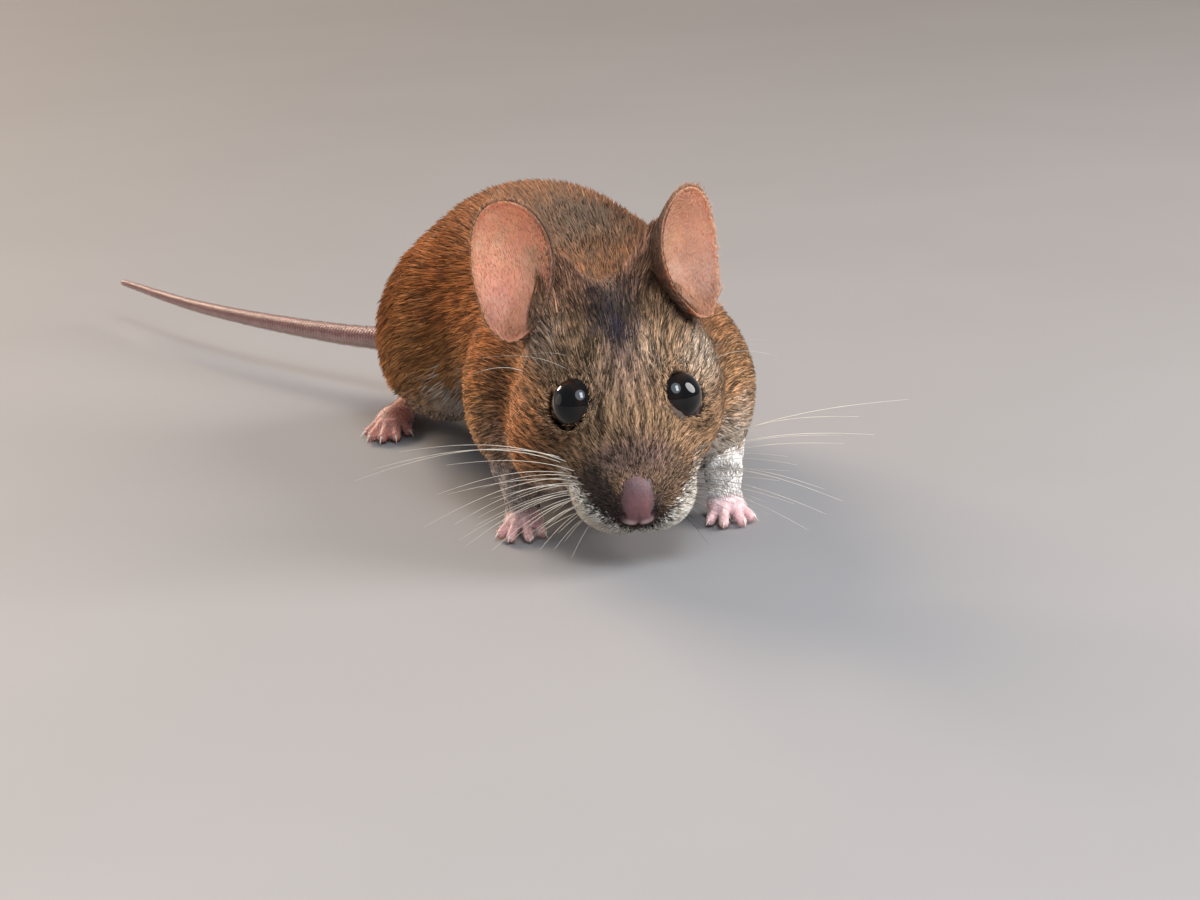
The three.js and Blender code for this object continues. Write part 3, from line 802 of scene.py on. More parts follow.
def rise(points):
    """From -1 at the middle of the belly to 1 at the middle of the back."""
    _, _, offset = along_back(points)
    return offset[:, 2] / np.maximum(np.linalg.norm(offset, axis=1), 1e-6)


def flat_on(normals, ways):
    return unit(ways - dot(ways, normals)[:, None] * normals)


def near_leg(points):
    """How much each point belongs to a leg, and the way that leg runs."""
    share = np.zeros(len(points))
    way = np.zeros((len(points), 3))
    for limb in LIMBS.values():
        field = around(limb.leg, points, lambda p: nearest(limb.leg, p))
        here = ramp(field, (0.2, 1.0), (2.0, 0.0)) * ramp(points[:, 2], (8.5, 1.0), (11.5, 0.0))
        down = unit(limb.leg[-1].start - limb.leg[0].start)
        way += here[:, None] * down
        share = np.maximum(share, here)
    return share, way


def lie_of_coat(points, normals):
    """Back from the nose over the head, along the trunk, down its sides and the legs, clear of the eyes."""
    _, way, offset = along_back(points)
    distance = from_nose(points)
    sideways = np.linalg.norm(offset[:, :2], axis=1) / np.maximum(np.linalg.norm(offset, axis=1), 1e-6)
    trunk = way + np.array([0, 0, -0.55]) * (sideways * ramp(offset[:, 2], (-6, 0.3), (6, 1.0)))[:, None]
    ways = unit(unit(points - NOSE_AT) * ramp(distance, (NECK_AT, 1.0), (TRUNK_AT, 0.0))[:, None]
                + unit(trunk) * ramp(distance, (NECK_AT, 0.0), (TRUNK_AT, 1.0))[:, None])
    leg, down = near_leg(points)
    ways = ways * (1 - leg)[:, None] + down * 1.3
    lip = on_lip(head_axes(points))
    around_muzzle = head_axes(points) * (1, 0, 1) + (0, 0, 4.5)
    outward = unit(around_muzzle) @ HEAD_TURN.T
    ways = ways * (1 - 0.6 * lip)[:, None] + outward * (0.9 * lip)[:, None]
    lobe = on_lobe(points)
    to_ear = np.array([0.45, 0.1, 0.9]) * np.where(points[:, :1] < 3.1, (-1, 1, 1), 1)
    ways = ways * (1 - 0.8 * lobe)[:, None] + to_ear * lobe[:, None]
    for side in SIDES:
        away = points - EYE_AT[side]
        out = away - (away @ EYE_AXIS[side])[:, None] * EYE_AXIS[side]
        rim = np.linalg.norm(away, axis=1) - EYE_RADIUS
        ways = ways + unit(out) * ramp(rim, (0.3, 1.1), (1.6, 0.45), (3.2, 0.0))[:, None]
    return flat_on(normals, unit(ways))


def fluff(points):
    """How far the tips stand off beyond the outline of the coat."""
    tufts = ramp(nearest(EAR_TUFTS, points), (0.6, 1.0), (2.0, 0.0))
    return 0.35 * on_lip(head_axes(points)) + (0.6 * tufts + 0.55 * (1 - tufts)) * on_lobe(points)


# How long the hair is, by the distance from the nose.
HAIR_LENGTHS = ((0, 0.35), (3, 0.6), (5, 1.0), (9, 1.8), (14, 2.5), (25, 3.5), (36, 4.6), (60, 5.8))


def hair_length(points):
    distance = from_nose(points)
    length = ramp(distance, *HAIR_LENGTHS)
    length = length * (1 + 0.9 * on_lip(head_axes(points)))
    length = length * (1 - 0.35 * on_lobe(points) * ramp(nearest(EAR_BACKS, points), (0.8, 1.0), (1.8, 0.0)))
    length = length * ramp(rise(points), (-0.9, 0.75), (0.2, 1.0))
    leg, _ = near_leg(points)
    length = length * (1 - 0.62 * leg)
    for side in SIDES:
        rim = np.linalg.norm(points - EYE_AT[side], axis=1) - EYE_RADIUS
        length = length * ramp(rim, (0.3, 0.42), (2.2, 1.0))
    return length


def hair_width(points):
    width = ramp(from_nose(points), (0, 0.075), (5, 0.095), (10, 0.12), (18, 0.16), (27, 0.23), (50, 0.34))
    return width * (1 - 0.35 * on_lobe(points)) * (1 - 0.5 * off_trunk(points))


def off_trunk(points):
    """1 on the part of a leg that stands clear of the trunk."""
    above_hock = ramp(points[:, 1], (28, 0.0), (36, 1.0)) * ramp(points[:, 2], (6.2, 0.0), (7.8, 1.0))
    return near_leg(points)[0] * ramp(furred_field(points), (0.1, 0.0), (0.5, 1.0)) * (1 - above_hock)


def bareness(points):
    """1 where no coat grows: the nose, the eyeballs and the edges of the lids."""
    bare = on_nose(points)
    for side in SIDES:
        bare = np.maximum(bare, ramp(lid_field(side, points), (0.04, 1.0), (0.12, 0.0)))
        out, along, across = eye_polar(side, points)
        within = (across < EYE_RADIUS * math.sin(math.radians(LID_OPENING[side]))) & (along > 0) & (out < 4)
        bare = np.maximum(bare, within)
    return np.maximum(bare, in_cup(points))


# ---------- the colours of the coat ----------
SLATE = np.array([0.055, 0.045, 0.042])
DARK_BACK = np.array([0.200, 0.080, 0.030])
WARM_FLANK = np.array([0.330, 0.125, 0.043])
OCHRE_FLANK = np.array([0.440, 0.220, 0.085])
CREAM_BELLY = np.array([0.66, 0.60, 0.53])
HEAD_BROWN = np.array([0.280, 0.165, 0.092])
LEG_WHITE = np.array([0.95, 0.90, 0.90])
LEG_BROWN = np.array([0.50, 0.36, 0.26])

EAR_BACK_BROWN = np.array([0.270, 0.135, 0.085])

# Marks on the trunk: middle, reach, colour, strength. The one on the breast shows beside the head as well.
BREAST_MARK = ((-6.0, 6.0, 8.0), (6.0, 7.0, 4.5), (0.360, 0.150, 0.060), 0.95)
TRUNK_MARKS = (
    # The first mark, dark on the back behind the shoulders, is painted shade for the shadow in the hollow
    # there.
    ((0.5, 34.0, 29.0), (7.0, 12.0, 6.0), (0.055, 0.032, 0.023), 0.95),
    ((14.0, 20.0, 13.0), (5.0, 9.0, 9.0), (0.470, 0.300, 0.165), 0.88),
    BREAST_MARK,
)
# Marks on the head, in the head's own axes: middle, reach, colour, strength. Those with a side to them
# come in a pair, with the sign of x turned.
MARKS = (
    ((0, -8.3, -1.6), (2.0, 4.2, 2.0), (0.086, 0.051, 0.045), 0.88),
    ((0, -1.5, 3.0), (3.2, 3.2, 2.2), (0.285, 0.180, 0.135), 0.7),
    # The two marks down the crown are its own near-black, with a blue cast that is painted reflection of cool
    # blue light.
    ((-0.7, 9.4, 6.2), (2.9, 7.2, 3.5), (0.016, 0.015, 0.034), 1.0),
    ((-0.4, 2.6, 5.8), (1.9, 4.2, 2.4), (0.020, 0.019, 0.042), 0.97),
    # The orange on the right cheek alone is partly the coat's own colour and partly painted shade, warmer and
    # darker on the side turned from the lamps.
    ((-9.2, 3.5, -5.4), (4.8, 6.5, 5.2), (0.350, 0.135, 0.046), 0.85),
    # The dark mark behind the right cheek is painted shade for the crease between head and shoulder.
    ((-11.6, 10.5, -3.5), (2.2, 3.0, 9.0), (0.080, 0.040, 0.022), 0.8),
    # The pale patch at the left temple is partly the coat's own colour and partly painted light, paler on the
    # side that faces the lamps.
    ((8.9, 4.2, 2.4), (3.2, 4.2, 3.4), (0.530, 0.430, 0.335), 0.80),
    ((-7.9, 5.2, 3.1), (2.2, 2.6, 2.0), (0.400, 0.320, 0.270), 0.5),
    ((2.7, 0.2, 4.7), (1.3, 2.4, 1.5), (0.440, 0.330, 0.240), 0.4),
)
PAIRED_MARKS = (
    ((5.4, 3.5, -4.5), (2.8, 4.8, 2.8), (0.420, 0.220, 0.115), 0.6),
    ((2.5, -8.8, -1.5), (1.5, 2.0, 1.3), (0.118, 0.074, 0.078), 0.62),
    ((4.2, -4.2, -2.4), (1.4, 2.2, 1.6), (0.150, 0.085, 0.055), 0.5),
    ((6.8, -2.5, -2.4), (1.4, 1.4, 0.8), (0.060, 0.036, 0.026), 0.8),
    ((4.0, -0.8, 3.8), (0.9, 1.0, 0.8), (0.030, 0.022, 0.020), 0.95),
    ((7.4, 8.2, 4.6), (2.6, 3.0, 3.8), (0.120, 0.072, 0.050), 0.7),
)
LIP_WHITE = np.array([0.82, 0.76, 0.67])
PAD_DARK = np.array([0.048, 0.034, 0.031])


def down_muzzle(own):
    """How far down the side of the muzzle a place lies, in the head's axes: 0 at its top, 4 at the lip."""
    return 0.75 * np.abs(own[:, 0]) - 0.9 * (own[:, 2] + 5.0)


def on_lip(own):
    """The pale fringe round the lower edge of the muzzle."""
    edge = ramp(own[:, 1], (-12, 3.15), (-9.7, 3.4), (-7.7, 3.85))
    below = down_muzzle(own) - edge + 0.25 * wobble(own, 0.9, 41)
    return ramp(below, (-0.15, 0.0), (0.55, 1.0)) * ramp(own[:, 1], (-7.6, 1.0), (-4.8, 0.0))


def on_pad(own):
    """The dark pads on either side of the nose."""
    return ramp(down_muzzle(own), (-0.9, 0.0), (0.4, 1.0)) * ramp(own[:, 1], (-8.6, 1.0), (-6.4, 0.0))


def mix(a, b, share):
    return a + (b - a) * np.asarray(share)[:, None]


def head_marks(points, colours):
    own = head_axes(points)
    marks = [(mark, 1.0) for mark in MARKS]
    marks += [(mark, sign) for mark in PAIRED_MARKS for sign in SIDES.values()]
    for ((x, y, z), reach, colour, strength), sign in marks:
        away = (own - np.array([x * sign, y, z])) / np.array(reach)
        colours = mix(colours, np.array(colour), strength * np.exp(-dot(away, away) ** 1.5))
    dark = 0.93 * on_pad(own) * ramp(own[:, 0], (1.6, 1.0), (3.2, 0.62))
    return mix(mix(colours, PAD_DARK, dark), LIP_WHITE, on_lip(own))


def strength_of(mark, points):
    """How strongly a mark on the trunk shows at each place."""
    at, reach, _, strength = mark
    away = (points - np.array(at)) / np.array(reach)
    return strength * np.exp(-dot(away, away))


def coat_colour(points):
    """The coat's colour seen from a little way off."""
    high = rise(points) + 0.08 * wobble(points, 5.0, 3)
    low = mix(CREAM_BELLY, OCHRE_FLANK, ramp(high, (-0.62, 0), (-0.42, 1)))
    trunk = mix(low, WARM_FLANK, ramp(high, (-0.35, 0), (0.3, 1)))
    hindmost = 0.45 * ramp(points[:, 1], (42, 0.0), (56, 1.0))
    back = mix(np.tile(DARK_BACK, (len(points), 1)), WARM_FLANK, hindmost)
    trunk = mix(trunk, back, ramp(high, (0.45, 0), (0.98, 1)))
    for mark in TRUNK_MARKS:
        trunk = mix(trunk, np.array(mark[2]), strength_of(mark, points))
    leg, _ = near_leg(points)
    fore = ramp(points[:, 1], (28, 1.0), (36, 0.0))
    # The right foreleg's coat is painted darker and browner than the left's: painted shade for the shadow it
    # stands in under the head.
    fore_leg = np.where(points[:, :1] < 0, LEG_WHITE * (0.62, 0.50, 0.44), LEG_WHITE)
    trunk = mix(trunk, fore_leg, leg * fore * ramp(points[:, 2], (6, 1), (9, 0)))
    trunk = mix(trunk, LEG_BROWN, 0.8 * leg * (1 - fore) * ramp(points[:, 2], (3, 1), (9, 0)))
    under = ramp(head_axes(points)[:, 2], (-10.0, 1.0), (-7.6, 0.0))
    head = mix(np.tile(HEAD_BROWN, (len(points), 1)), CREAM_BELLY, under)
    colours = mix(trunk, head, ramp(from_nose(points), (18, 1.0), (30, 0.0)))
    near = from_nose(points) < 32
    colours[near] = head_marks(points[near], colours[near])
    behind_ear = on_lobe(points) * ramp(nearest(EAR_BACKS, points), (1.0, 1.0), (2.2, 0.0))
    mottled = EAR_BACK_BROWN * (1 + 0.35 * wobble(points, 1.6, 31)[:, None]).clip(0.5, 1.6)
    colours = mix(colours, mottled, 0.85 * behind_ear)
    past_muzzle = ramp(from_nose(points), (13, 0.0), (17, 1.0))
    return mix(colours, np.array(BREAST_MARK[2]), strength_of(BREAST_MARK, points) * past_muzzle)


def wobble(points, size, seed):
    """Smooth noise about 0, with lumps of about that size."""
    source = np.random.default_rng(seed)
    total = np.zeros(len(points))
    for _ in range(9):
        way = source.normal(size=3)
        way *= 2 * math.pi / size * source.uniform(0.5, 1.5) / np.linalg.norm(way)
        total += np.sin(points @ way + source.uniform(0, 2 * math.pi))
    return total / 3.0


# ---------- the coat ----------
HEAD_TUFTS, TRUNK_TUFTS = 118000, 104000
HEAD_PIECES, TRUNK_PIECES = 4, 4
HEAD_END = 27.0
PATCH = 0.003
# One tuft: a root, a ring of three points and a tip.
TUFT_FACES = np.array([(0, 2, 1), (0, 3, 2), (0, 1, 3), (1, 2, 4), (2, 3, 4), (3, 1, 4)])
TUFT_SPOTS = np.array([(-0.5, 0.0), (-0.1, -0.5), (-0.1, 0.0), (-0.1, 0.5), (0.5, 0.0)])


def scattered(skin, density, count, source):
    """Roots spread over the skin as densely as density says, with the skin's normals there."""
    mesh = skin.data
    points = vertices(mesh)
    normals = np.empty(len(points) * 3, np.float32)
    mesh.vertices.foreach_get("normal", normals)
    normals = normals.reshape(-1, 3).astype(float)
    mesh.calc_loop_triangles()
    corners = np.empty(len(mesh.loop_triangles) * 3, np.int32)
    mesh.loop_triangles.foreach_get("vertices", corners)
    corners = corners.reshape(-1, 3)
    a, b, c = (points[corners[:, k]] for k in range(3))
    area = np.linalg.norm(np.cross(b - a, c - a), axis=1) / 2
    chance = area * density[corners].mean(1)
    steps = np.cumsum(chance)
    picks = np.searchsorted(steps, (np.arange(count) + source.uniform(0, 1, count)) / count * steps[-1])
    picks = np.minimum(picks, len(corners) - 1)
    u, v = source.uniform(0, 1, (2, count))
    fold = u + v > 1
    u[fold], v[fold] = 1 - u[fold], 1 - v[fold]
    shares = np.stack([1 - u - v, u, v])
    roots = sum(shares[k][:, None] * points[corners[picks, k]] for k in range(3))
    facing = sum(shares[k][:, None] * normals[corners[picks, k]] for k in range(3))
    return roots, unit(facing)


def lifted(points, heights, field):
    """Points moved straight off the skin to the given heights."""
    value, gradient = slopes(field, points, 0.1)
    push = (heights - value) / np.maximum(dot(gradient, gradient), 0.25)
    return points + gradient * np.clip(push, -1.5, 1.5)[:, None]


def gathered(tips, roots, cell, share):
    """Tips drawn together with those that start in the same small cell, as locks."""
    warped = roots + 0.35 * cell * np.stack([wobble(roots, cell * 3, k) for k in (11, 12, 13)], axis=1)
    keys = np.floor(warped / cell).astype(np.int64)
    code = (keys[:, 0] * 73856093) ^ (keys[:, 1] * 19349663) ^ (keys[:, 2] * 83492791)
    _, which, counts = np.unique(code, return_inverse=True, return_counts=True)
    which = which.ravel()
    centre = np.stack([np.bincount(which, tips[:, k]) for k in range(3)], axis=1) / counts[:, None]
    return tips + (centre[which] - tips) * share[:, None]


def grown(roots, normals, source):
    """Middles, tips and widths of tufts that lie along the skin and rise to the outline of the coat."""
    count = len(roots)
    length = hair_length(roots) * source.uniform(0.7, 1.2, count)
    swirl = 0.10 * wobble(roots, 6.0, 5) + source.normal(0, 0.10, count)
    ways = lie_of_coat(roots, normals)
    ways = ways * np.cos(swirl)[:, None] + np.cross(normals, ways) * np.sin(swirl)[:, None]
    depth = coat_depth(roots) + 0.12 + fluff(roots)
    half_way = roots + ways * (0.42 * length)[:, None]
    middles = lifted(half_way, depth * source.uniform(0.35, 0.75, count), furred_field)
    ahead = flat_on(normals, middles - roots)
    full_way = middles + ahead * (0.58 * length)[:, None]
    tips = lifted(full_way, depth * source.uniform(0.55, 1.25, count), furred_field)
    on_limb = off_trunk(roots)
    height = source.uniform(0.08, 0.3, count)
    middles = mix(middles, half_way + normals * height[:, None], on_limb)
    tips = mix(tips, roots + ways * length[:, None] + normals * (0.9 * height)[:, None], on_limb)
    tips = gathered(tips, roots, 0.8, ramp(from_nose(roots), (6, 0.15), (25, 0.4)) * (1 - on_limb))
    return middles, tips, hair_width(roots) * source.uniform(0.7, 1.25, count)


def streaks(roots):
    """Noise about 0 drawn out along the lie of the hair."""
    away = roots - NOSE_AT
    distance = np.linalg.norm(away, axis=1, keepdims=True)
    fanned = away / distance * 15 + 0.12 * distance * (0.6, 0.6, 0.5)
    along_trunk = roots * (1.0, 0.22, 0.8)
    on_head, on_trunk = wobble(fanned, 0.55, 21)[:, None], wobble(along_trunk, 0.9, 23)[:, None]
    return mix(on_head, on_trunk, ramp(distance[:, 0], (15, 0), (27, 1)))[:, 0]


def agouti(roots, tips, source):
    """Colours of root, middle and tip: slate at the root, banded above, with dark and straw hairs among them.

    A hair that comes up through the crease between leg and rump takes the colour of the coat it comes out in.
    """
    count = len(roots)
    calm = ramp(from_nose(roots), (20, 1.0), (36, 0.65))
    astray = ramp(from_nose(roots), (3, 0.28), (12, 0.42), (30, 1.1))
    base = coat_colour(roots + source.normal(0, 1, (count, 3)) * astray[:, None])
    climbed = ramp(rise(tips) - rise(roots), (0.15, 0.0), (0.35, 1.0))
    crossed = climbed * ramp(roots[:, 1], (40, 0.0), (50, 1.0))
    base = mix(base, coat_colour(tips), crossed)
    drawn = streaks(roots)
    base = base * (1 + calm * (0.26 * drawn + source.normal(0, 0.14, count))).clip(0.35, 1.9)[:, None]
    pale = np.maximum(ramp(base.max(axis=1), (0.45, 0.0), (0.65, 1.0)), 0.85 * off_trunk(roots))
    kind = source.uniform(0, 1, count) + 0.22 * drawn
    dark = (kind < 0.34) & (pale < 0.5)
    straw = (kind > 0.72) & (pale < 0.8) & (base.max(axis=1) > 0.09)
    root = mix(base * (0.45 + 0.5 * pale)[:, None], SLATE, 0.5 * (1 - pale))
    middle = base.copy()
    tip = base * 1.02
    middle[dark] *= 1 - 0.68 * calm[dark, None]
    tip[dark] *= 1 - 0.85 * calm[dark, None]
    middle[straw] *= 1 + 0.35 * calm[straw, None]
    tip[straw] = tip[straw] * (1 + 0.75 * calm[straw, None]) + calm[straw, None] * (0.035, 0.028, 0.018)
    return root, middle, tip


def unrolled(roots, low, high):
    """Places on an unwrap of the skin: round the middle line of the body, and along it from low to high."""
    _, _, offset = along_back(roots)
    distance = from_nose(roots)
    turn = np.arctan2(offset[:, 0], offset[:, 2]) / (2 * math.pi) + 0.5
    along = (distance - low) / (high - low)
    return np.stack([turn, along], axis=1) * (1 - 4 * PATCH) + 2 * PATCH


def tuft_piece(name, roots, middles, tips, widths, colours, spots):
    """One mesh of closed spindles, each with a root, three sides and a tip."""
    count = len(roots)
    axis = unit(tips - roots)
    across = unit(np.cross(axis, np.roll(axis, 1, axis=1) + 0.3))
    above = np.cross(axis, across)
    points = np.empty((count, 5, 3))
    points[:, 0], points[:, 4] = roots, tips
    for k in range(3):
        turn = 2 * math.pi * k / 3
        outward = across * math.cos(turn) + above * math.sin(turn)
        points[:, 1 + k] = middles + outward * (widths / 2)[:, None]
    faces = (np.arange(count) * 5)[:, None, None] + TUFT_FACES
    piece = mesh_piece(name, points.reshape(-1, 3), faces.reshape(-1, 3))
    shades = np.stack([colours[0], colours[1], colours[1], colours[1], colours[2]], axis=1)
    put_colours(piece.data, "coat", shades.reshape(-1, 3))
    places = spots[:, None, :] + TUFT_SPOTS * PATCH
    layer = piece.data.uv_layers.new(name="OFBake")
    layer.data.foreach_set("uv", places.reshape(-1, 2)[faces.ravel()].astype(np.float32).ravel())
    return piece


def make_coat(skin, region, count, pieces, density, low, high):
    source = np.random.default_rng(SEED + count)
    roots, normals = scattered(skin, density, count, source)
    middles, tips, widths = grown(roots, normals, source)
    roots = roots - normals * 0.08
    colours = agouti(roots, tips, source)
    spots = unrolled(roots, low, high)
    share = source.permutation(count) % pieces
    made = []
    for number in range(pieces):
        own = share == number
        shades = [shade[own] for shade in colours]
        name = f"{region}_{number + 1}"
        made.append(tuft_piece(name, roots[own], middles[own], tips[own], widths[own], shades, spots[own]))
    return made


def coat_densities(skin):
    """Tufts to the square millimetre over the head and over the trunk."""
    points = vertices(skin.data)
    on_ear, on_foot, on_tail, _ = skin_regions(points)
    furred = (1 - bareness(points)) * (1 - np.maximum.reduce([on_ear, on_foot, on_tail]))
    distance = from_nose(points)
    furred = furred * (1 + 1.8 * off_trunk(points) + 0.5 * on_lobe(points))
    head = furred * ramp(distance, (0, 150), (6, 120), (14, 80), (22, 50), (30, 30)) * (distance < HEAD_END)
    trunk = furred * ramp(distance, (HEAD_END, 26), (40, 16), (60, 14)) * (distance >= HEAD_END)
    return head, trunk


# ---------- short hair of ears, feet and tail ----------
EAR_HAIRS, LIMB_HAIRS = 17000, 9000


def ear_at(points):
    """For each point, which ear is the nearer, and whether it faces into the cup."""
    return np.where(EARS["right"].field(points) < EARS["left"].field(points), "right", "left")


def make_ear_hair(skin):
    source = np.random.default_rng(SEED + 1)
    points = vertices(skin.data)
    on_ear = skin_regions(points)[0]
    thick = np.full(len(points), 14.0)
    own = ear_at(points)
    normals = np.array([v.normal for v in skin.data.vertices])
    for side, ear in EARS.items():
        mine = own == side
        across, high, _ = ear.own(points[mine])
        back = normals[mine] @ ear.normal < 0
        edge = np.sqrt(across**2 + high**2)
        inner = ramp(-across * SIDES[side], (0.3, 0.0), (0.7, 1.0)) * ramp(edge, (0.9, 0), (1.0, 1))
        thick[mine] = np.where(back, 40.0, 13.0) + 16 * ramp(edge, (0.86, 0), (0.97, 1)) + 60 * inner
    roots, facing = scattered(skin, thick * (on_ear > 0.4), EAR_HAIRS, source)
    own = ear_at(roots)
    tips, colours = np.empty_like(roots), np.empty_like(roots)
    for side, ear in EARS.items():
        mine = own == side
        across, high, _ = ear.own(roots[mine])
        back = facing[mine] @ ear.normal < 0
        count = mine.sum()
        fan = ear.up + ear.across * (0.5 * across + source.normal(0, 0.22, count))[:, None]
        length = source.uniform(0.45, 0.85, count) * np.where(back, 1.5, 1.0)
        length = length * ramp(high, (-0.9, 1.9), (-0.4, 1.0))
        ways = flat_on(facing[mine], fan) + facing[mine] * np.where(back, 0.16, 0.22)[:, None]
        tips[mine] = roots[mine] + unit(ways) * length[:, None]
        inner = -across * SIDES[side]  # towards the other ear
        dark = np.clip(ramp(inner, (0.25, 0.0), (0.6, 1.0)) + back, 0, 1)
        tan = np.array([0.56, 0.29, 0.17]) * source.uniform(0.75, 1.2, count)[:, None]
        brown = np.array([0.115, 0.066, 0.042]) * source.uniform(0.5, 1.9, count)[:, None]
        colours[mine] = mix(tan, brown, dark * ramp(high, (0.5, 1.0), (0.98, 0.7)))
    middles = (roots + tips) / 2 + facing * 0.05
    widths = source.uniform(0.030, 0.052, len(roots))
    spots = np.stack([roots[:, 0] / 40 + 0.5, roots[:, 2] / 40], axis=1).clip(0.01, 0.99)
    shades = [colours * 0.8, colours, colours * 1.2]
    return tuft_piece("ear_hair", roots - facing * 0.05, middles, tips, widths, shades, spots)


def make_limb_hair(skin):
    """Fine pale hairs on the backs of the feet, and bristles that lie back between the rings of the tail."""
    source = np.random.default_rng(SEED + 2)
    points = vertices(skin.data)
    _, on_foot, on_tail, _ = skin_regions(points)
    top = ramp(points[:, 2], (0.5, 0.0), (1.2, 1.0))
    bare_tail = ramp(on_tail, (0.5, 0.0), (0.8, 1.0))
    roots, facing = scattered(skin, bare_tail * 9 + on_foot * top * 14, LIMB_HAIRS, source)
    share, _ = along_tail(roots)
    index = np.clip((share * (TAIL_STEPS - 1)).astype(int), 0, TAIL_STEPS - 2)
    tail = skin_regions(roots)[2] > 0.3
    back = unit(np.diff(TAIL_LINE, axis=0))[index]
    forward = np.array([0, -1.0, -0.25]) + source.normal(0, 0.25, (len(roots), 3))
    ways = flat_on(facing, np.where(tail[:, None], back + source.normal(0, 0.15, (len(roots), 3)), forward))
    length = source.uniform(0.35, 0.75, len(roots)) * np.where(tail, ramp(share, (0, 1.5), (0.6, 1.0)), 1.0)
    tips = roots + unit(ways + facing * 0.22) * length[:, None]
    middles = (roots + tips) / 2 + facing * 0.04
    above = facing[:, 2] > 0.1
    tail_hair = np.where(above[:, None], np.array([0.17, 0.10, 0.07]), np.array([0.55, 0.45, 0.38]))
    colours = np.where(tail[:, None], tail_hair, np.array([0.90, 0.80, 0.76]))
    colours = colours * source.uniform(0.85, 1.1, (len(roots), 1))
    along = np.where(tail, share, roots[:, 0] / 70 + 0.5)
    round_it = np.where(tail, 0.75, 0.1) + facing[:, 2] * 0.1
    spots = np.stack([along, round_it], axis=1)
    tips[:, 2] = np.maximum(tips[:, 2], 0.05)
    widths = source.uniform(0.03, 0.055, len(roots))
    shades = [colours * 0.8, colours, colours * 1.1]
    spots = spots.clip(0.01, 0.99)
    return tuft_piece("limb_hair", roots - facing * 0.04, middles, tips, widths, shades, spots)


# ---------- eyes, claws and whiskers ----------
CORNEA_RISE = 0.12


def make_eye(side):
    """An eyeball with its pole on the eye's axis and a slightly raised cornea."""
    axis = Vector(EYE_AXIS[side])
    bpy.ops.object.select_all(action="DESELECT")
    bpy.ops.mesh.primitive_uv_sphere_add(segments=64, ring_count=32, radius=EYE_RADIUS * MM)
    eye = bpy.context.object
    eye.name = f"eyeball_{side}"
    bpy.ops.object.mode_set(mode="EDIT")
    bpy.ops.mesh.select_all(action="DESELECT")
    bpy.ops.object.mode_set(mode="OBJECT")
    top = max(eye.data.vertices, key=lambda vertex: vertex.co.z)
    top.select = True
    bpy.ops.object.mode_set(mode="EDIT")
    bpy.ops.transform.translate(value=(0, 0, CORNEA_RISE * MM), use_proportional_edit=True,
                                proportional_edit_falloff="SMOOTH", proportional_size=2.2 * MM)
    bpy.ops.object.mode_set(mode="OBJECT")
    bpy.ops.object.shade_smooth()
    heights = np.array([v.co.z for v in eye.data.vertices])
    put_values(eye.data, "toward_pupil", heights / (EYE_RADIUS * MM))
    eye.rotation_euler = axis.to_track_quat("Z", "Y").to_euler()
    eye.location = (EYE_AT[side] + HOME) * MM
    bpy.ops.object.transform_apply(location=True, rotation=True, scale=True)
    return eye


CLAW_STEPS = 6
CLAW_RADIUS = {"fore": 0.21, "hind": 0.25}
CLAW_LENGTH = {"fore": 1.0, "hind": 1.35}


def model_claw(kind):
    """A hooked claw that grows along -Y from the origin and bends down to its point."""
    radius, step = CLAW_RADIUS[kind] * MM, CLAW_LENGTH[kind] / CLAW_STEPS * MM
    bpy.ops.object.select_all(action="DESELECT")
    upright = (math.pi / 2, 0, 0)
    bpy.ops.mesh.primitive_circle_add(vertices=10, radius=radius, fill_type="NGON", rotation=upright)
    claw = bpy.context.object
    bpy.ops.object.transform_apply(rotation=True)
    bpy.ops.object.mode_set(mode="EDIT")
    bpy.ops.mesh.select_all(action="SELECT")
    for number in range(CLAW_STEPS):
        shift = (0, -step, -step * 0.16 * number)
        bpy.ops.mesh.extrude_region_move(TRANSFORM_OT_translate={"value": shift})
        thinner = 0.9 - 0.07 * number
        bpy.ops.transform.resize(value=(thinner * 0.95, thinner, thinner))
    bpy.ops.mesh.select_all(action="SELECT")
    bpy.ops.mesh.normals_make_consistent(inside=False)
    bpy.ops.mesh.select_all(action="DESELECT")
    bpy.ops.object.mode_set(mode="OBJECT")
    bpy.ops.object.shade_smooth()
    return claw


def make_claws():
    """A claw on every toe, joined into one piece for each foot."""
    made = []
    for kind, legs, toes, thick in (("fore", FORE, FORE_TOES, 0.56), ("hind", HIND, HIND_TOES, 0.62)):
        pattern = model_claw(kind)
        for side, leg in legs.items():
            copies = []
            for turn, reach in toes:
                yaw = leg["yaw"] + turn
                tip = toe_line(leg["ball"], yaw, reach, thick)[-1]
                copy = pattern.copy()
                copy.data = pattern.data.copy()
                bpy.context.scene.collection.objects.link(copy)
                way = turned(yaw) @ np.array([0, -0.15, 0.22])
                copy.location = (tip + way + HOME) * MM
                copy.rotation_euler = (math.radians(8), 0, math.radians(yaw))
                copies.append(copy)
            bpy.ops.object.select_all(action="DESELECT")
            for copy in copies:
                copy.select_set(True)
            bpy.context.view_layer.objects.active = copies[0]
            bpy.ops.object.transform_apply(location=True, rotation=True, scale=True)
            bpy.ops.object.join()
            copies[0].name = f"claws_{kind}_{side}"
            made.append(copies[0])
        bpy.data.meshes.remove(pattern.data)
    return made


WHISKER_ROWS, WHISKER_COLUMNS = 5, 6
WHISKER_POINTS = 16
WHISKER_ROOT, WHISKER_END = 0.062, 0.012  # radii
# Where the whiskers of each side reach: the tips of the top, middle and bottom rows furthest back.
WHISKER_TIPS = {
    "right": ((-27.5, 5.0, 11.5), (-21.5, 0.5, 5.0), (-15.5, -3.5, 0.8)),
    "left": ((37.5, 4.0, 14.0), (27.0, 0.5, 6.5), (21.0, -2.5, 2.5)),
}


